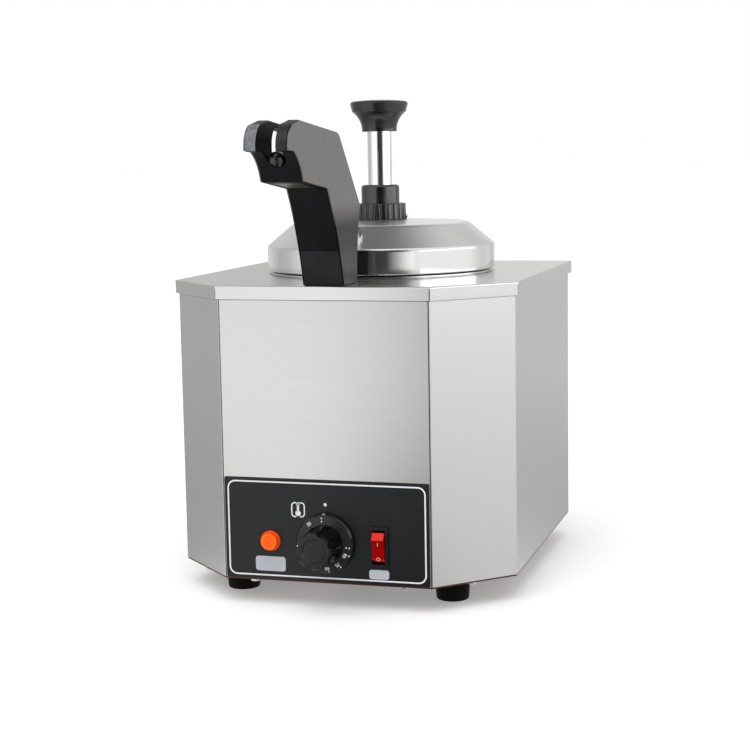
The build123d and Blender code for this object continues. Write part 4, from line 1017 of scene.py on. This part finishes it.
def round_card(radius, start, end, low, high):
    """Part of a round wall between two bearings and two heights."""
    bm = bmesh.new()
    middle = Matrix.Translation((0.0, 0.0, (low + high) / 2))
    bmesh.ops.create_cone(
        bm, cap_ends=False, segments=180, radius1=radius, radius2=radius, depth=high - low, matrix=middle
    )
    outside = []
    for face in bm.faces:
        spot = face.calc_center_median()
        if not start <= math.degrees(math.atan2(spot.x, -spot.y)) <= end:
            outside.append(face)
    bmesh.ops.delete(bm, geom=outside, context="FACES")
    return bm


def studio_drum():
    """Round wall and ground of soft light, and a low card at the height that the rim reflects."""
    wall = round_card(DRUM_RADIUS, -180.0, 180.0, 0.0, DRUM_HEIGHT)
    stage_object(wall, "studio_wall", studio_glow("studio_wall", WALL_TONES))
    card = round_card(CARD_RADIUS, -8.0, 50.0, 0.0, CARD_FOOT)
    stage_object(card, "studio_low_card", studio_glow("studio_low_card", LOW_CARD_TONES))
    ground = bmesh.new()
    bmesh.ops.create_circle(ground, cap_ends=True, segments=96, radius=DRUM_RADIUS)
    stage_object(ground, "studio_ground", studio_glow("studio_ground", GROUND_TONES, 0.77, "B_SPLINE"))


def studio_cards():
    """Bright strip on the right, above the height that the rim reflects, and a light over the front."""
    strip = round_card(CARD_RADIUS, 56.0, 124.0, CARD_FOOT, 0.85)
    stage_object(strip, "bright_strip", glow_material("bright_strip", 2.2)[0])
    under_ceiling, ahead, width, depth = 0.02, 1.0, 3.0, 1.0
    bm = bmesh.new()
    bar(bm, width, depth, (0.0, -ahead, DRUM_HEIGHT - under_ceiling))
    stage_object(bm, "front_top_light", glow_material("front_top_light", 1.35)[0])


def studio_ceiling():
    """Ceiling with a dark middle strip."""
    material, glow = glow_material("studio_ceiling", 1.0)
    tree = material.node_tree
    across = moved(tree, axes_of(tree)["X"], -CEILING_SIZE / 2, CEILING_SIZE / 2)
    tree.links.new(ramp(tree, across, CEILING_TONES), glow.inputs["Color"])
    bm = bmesh.new()
    bar(bm, CEILING_SIZE, CEILING_SIZE, (0.0, 0.0, DRUM_HEIGHT))
    stage_object(bm, "studio_ceiling", material)


def floor():
    """Plain pale floor that keeps the shadow."""
    recipe = Recipe("floor_white", (0.8, 0.8, 0.8), 0.9)
    recipe.set("Emission Color", WHITE)
    seen = recipe.add("ShaderNodeLightPath").outputs["Is Camera Ray"]
    recipe.join(sum_of(recipe.tree, "MULTIPLY", seen, FLOOR_GLOW), recipe.shader, "Emission Strength")
    bm = bmesh.new()
    bar(bm, FLOOR_SIZE, FLOOR_SIZE)
    stage_object(bm, "floor", recipe.material, gloss_only=False).visible_glossy = False


def world():
    """White surround; diffuse light from it is weaker than what the camera and gloss see."""
    made = bpy.data.worlds.new("surround")
    made.use_nodes = True
    bpy.context.scene.world = made
    tree = made.node_tree
    background = tree.nodes["Background"]
    background.inputs["Color"].default_value = WHITE
    path = tree.nodes.new("ShaderNodeLightPath").outputs
    seen = sum_of(tree, "MAXIMUM", path["Is Camera Ray"], path["Is Glossy Ray"])
    through = sum_of(tree, "MAXIMUM", seen, path["Is Transmission Ray"])
    tree.links.new(moved(tree, through, 0.0, 1.0, DIFFUSE_SHARE), background.inputs["Strength"])


def lamps():
    """One wide soft sun from above and in front, and a weaker one from the right."""
    for name, place, energy, angle in LAMPS:
        lamp = bpy.data.lights.new(name, "SUN")
        lamp.energy = energy
        lamp.angle = math.radians(angle)
        made = linked(name, lamp)
        made.location = place
        made.rotation_euler = (Vector(LAMP_TARGET) - made.location).to_track_quat("-Z", "Y").to_euler()
        made.visible_glossy = False


def camera():
    """Camera to the right of the front, a little over the deck."""
    turn, tilt, roll = CAMERA_TURN, CAMERA_TILT, CAMERA_ROLL
    ahead = Vector((-math.sin(turn) * math.cos(tilt), math.cos(turn) * math.cos(tilt), -math.sin(tilt)))
    level = Vector((math.cos(turn), math.sin(turn), 0.0))
    upward = level.cross(ahead)
    right = math.cos(roll) * level + math.sin(roll) * upward
    up = math.cos(roll) * upward - math.sin(roll) * level
    lens = bpy.data.cameras.new("view")
    lens.sensor_width = SENSOR_WIDTH
    lens.lens = SENSOR_WIDTH * FOCAL_SHARE
    made = linked("view", lens)
    place = Vector((0.0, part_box("deck_cap")[0].y, deck_top())) + CAMERA_PLACE
    made.matrix_world = Matrix.Translation(place) @ Matrix((right, up, -ahead)).transposed().to_4x4()
    bpy.context.scene.camera = made


def set_stage():
    """Floor, surround, reflectors, lamps and camera."""
    floor()
    world()
    studio_drum()
    studio_cards()
    studio_ceiling()
    lamps()
    camera()
    bpy.context.scene.view_settings.view_transform = "Standard"


# ---- operators and sidebar
class WARMER_OT_cabinet(bpy.types.Operator):
    """Round the edges of the cabinet's sheets and give them their finishes"""

    bl_idname = "warmer.cabinet"
    bl_label = "Dress Cabinet"
    bl_options = {"REGISTER", "UNDO"}

    def execute(self, context):
        dress_cabinet(context.scene.warmer_sizes, context.scene.warmer_colours)
        return {"FINISHED"}


class WARMER_OT_panel(bpy.types.Operator):
    """Make the control panel's marks, dial, lamp and switch"""

    bl_idname = "warmer.panel"
    bl_label = "Dress Control Panel"
    bl_options = {"REGISTER", "UNDO"}

    def execute(self, context):
        dress_panel(context.scene.warmer_sizes, context.scene.warmer_colours)
        return {"FINISHED"}


class WARMER_OT_arm(bpy.types.Operator):
    """Round and finish the spout arm"""

    bl_idname = "warmer.arm"
    bl_label = "Dress Spout Arm"
    bl_options = {"REGISTER", "UNDO"}

    def execute(self, context):
        dress_arm(context.scene.warmer_sizes, context.scene.warmer_colours)
        return {"FINISHED"}


class WARMER_OT_lid(bpy.types.Operator):
    """Finish the lid, jar and well"""

    bl_idname = "warmer.lid"
    bl_label = "Dress Lid and Jar"
    bl_options = {"REGISTER", "UNDO"}

    def execute(self, context):
        dress_lid(context.scene.warmer_colours)
        return {"FINISHED"}


class WARMER_OT_pump(bpy.types.Operator):
    """Round and finish the pump"""

    bl_idname = "warmer.pump"
    bl_label = "Dress Pump"
    bl_options = {"REGISTER", "UNDO"}

    def execute(self, context):
        dress_pump(context.scene.warmer_sizes, context.scene.warmer_colours)
        return {"FINISHED"}


class WARMER_OT_inside(bpy.types.Operator):
    """Finish the heater, controls, leads and mains inlet"""

    bl_idname = "warmer.inside"
    bl_label = "Dress Inside"
    bl_options = {"REGISTER", "UNDO"}

    def execute(self, context):
        dress_inside(context.scene.warmer_sizes)
        return {"FINISHED"}


class WARMER_OT_stage(bpy.types.Operator):
    """Set the floor, surround, lamps and camera"""

    bl_idname = "warmer.stage"
    bl_label = "Set Stage"
    bl_options = {"REGISTER", "UNDO"}

    def execute(self, context):
        set_stage()
        return {"FINISHED"}


class WARMER_PT_sidebar(bpy.types.Panel):
    """Sidebar panel with the operators, sizes and colours"""

    bl_idname = "WARMER_PT_sidebar"
    bl_label = "Topping Warmer"
    bl_space_type = "VIEW_3D"
    bl_region_type = "UI"
    bl_category = "Topping Warmer"

    def draw(self, context):
        for operator in OPERATORS:
            self.layout.operator(operator.bl_idname)
        for group in (context.scene.warmer_sizes, context.scene.warmer_colours):
            column = self.layout.column()
            for name in group.__annotations__:
                column.prop(group, name)


OPERATORS = (
    WARMER_OT_cabinet, WARMER_OT_panel, WARMER_OT_arm, WARMER_OT_lid, WARMER_OT_pump, WARMER_OT_inside,
    WARMER_OT_stage,
)
CLASSES = (WarmerSizes, WarmerColours, *OPERATORS, WARMER_PT_sidebar)


def register():
    """Adds the classes and the scene's two property groups."""
    for item in CLASSES:
        bpy.utils.register_class(item)
    bpy.types.Scene.warmer_sizes = PointerProperty(type=WarmerSizes)
    bpy.types.Scene.warmer_colours = PointerProperty(type=WarmerColours)


def unregister():
    """Takes them out again."""
    del bpy.types.Scene.warmer_colours
    del bpy.types.Scene.warmer_sizes
    for item in reversed(CLASSES):
        bpy.utils.unregister_class(item)


def main():
    """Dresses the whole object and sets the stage."""
    register()
    bpy.ops.warmer.cabinet()
    bpy.ops.warmer.panel()
    bpy.ops.warmer.arm()
    bpy.ops.warmer.lid()
    bpy.ops.warmer.pump()
    bpy.ops.warmer.inside()
    bpy.ops.warmer.stage()


if __name__ == "__main__":
    main()
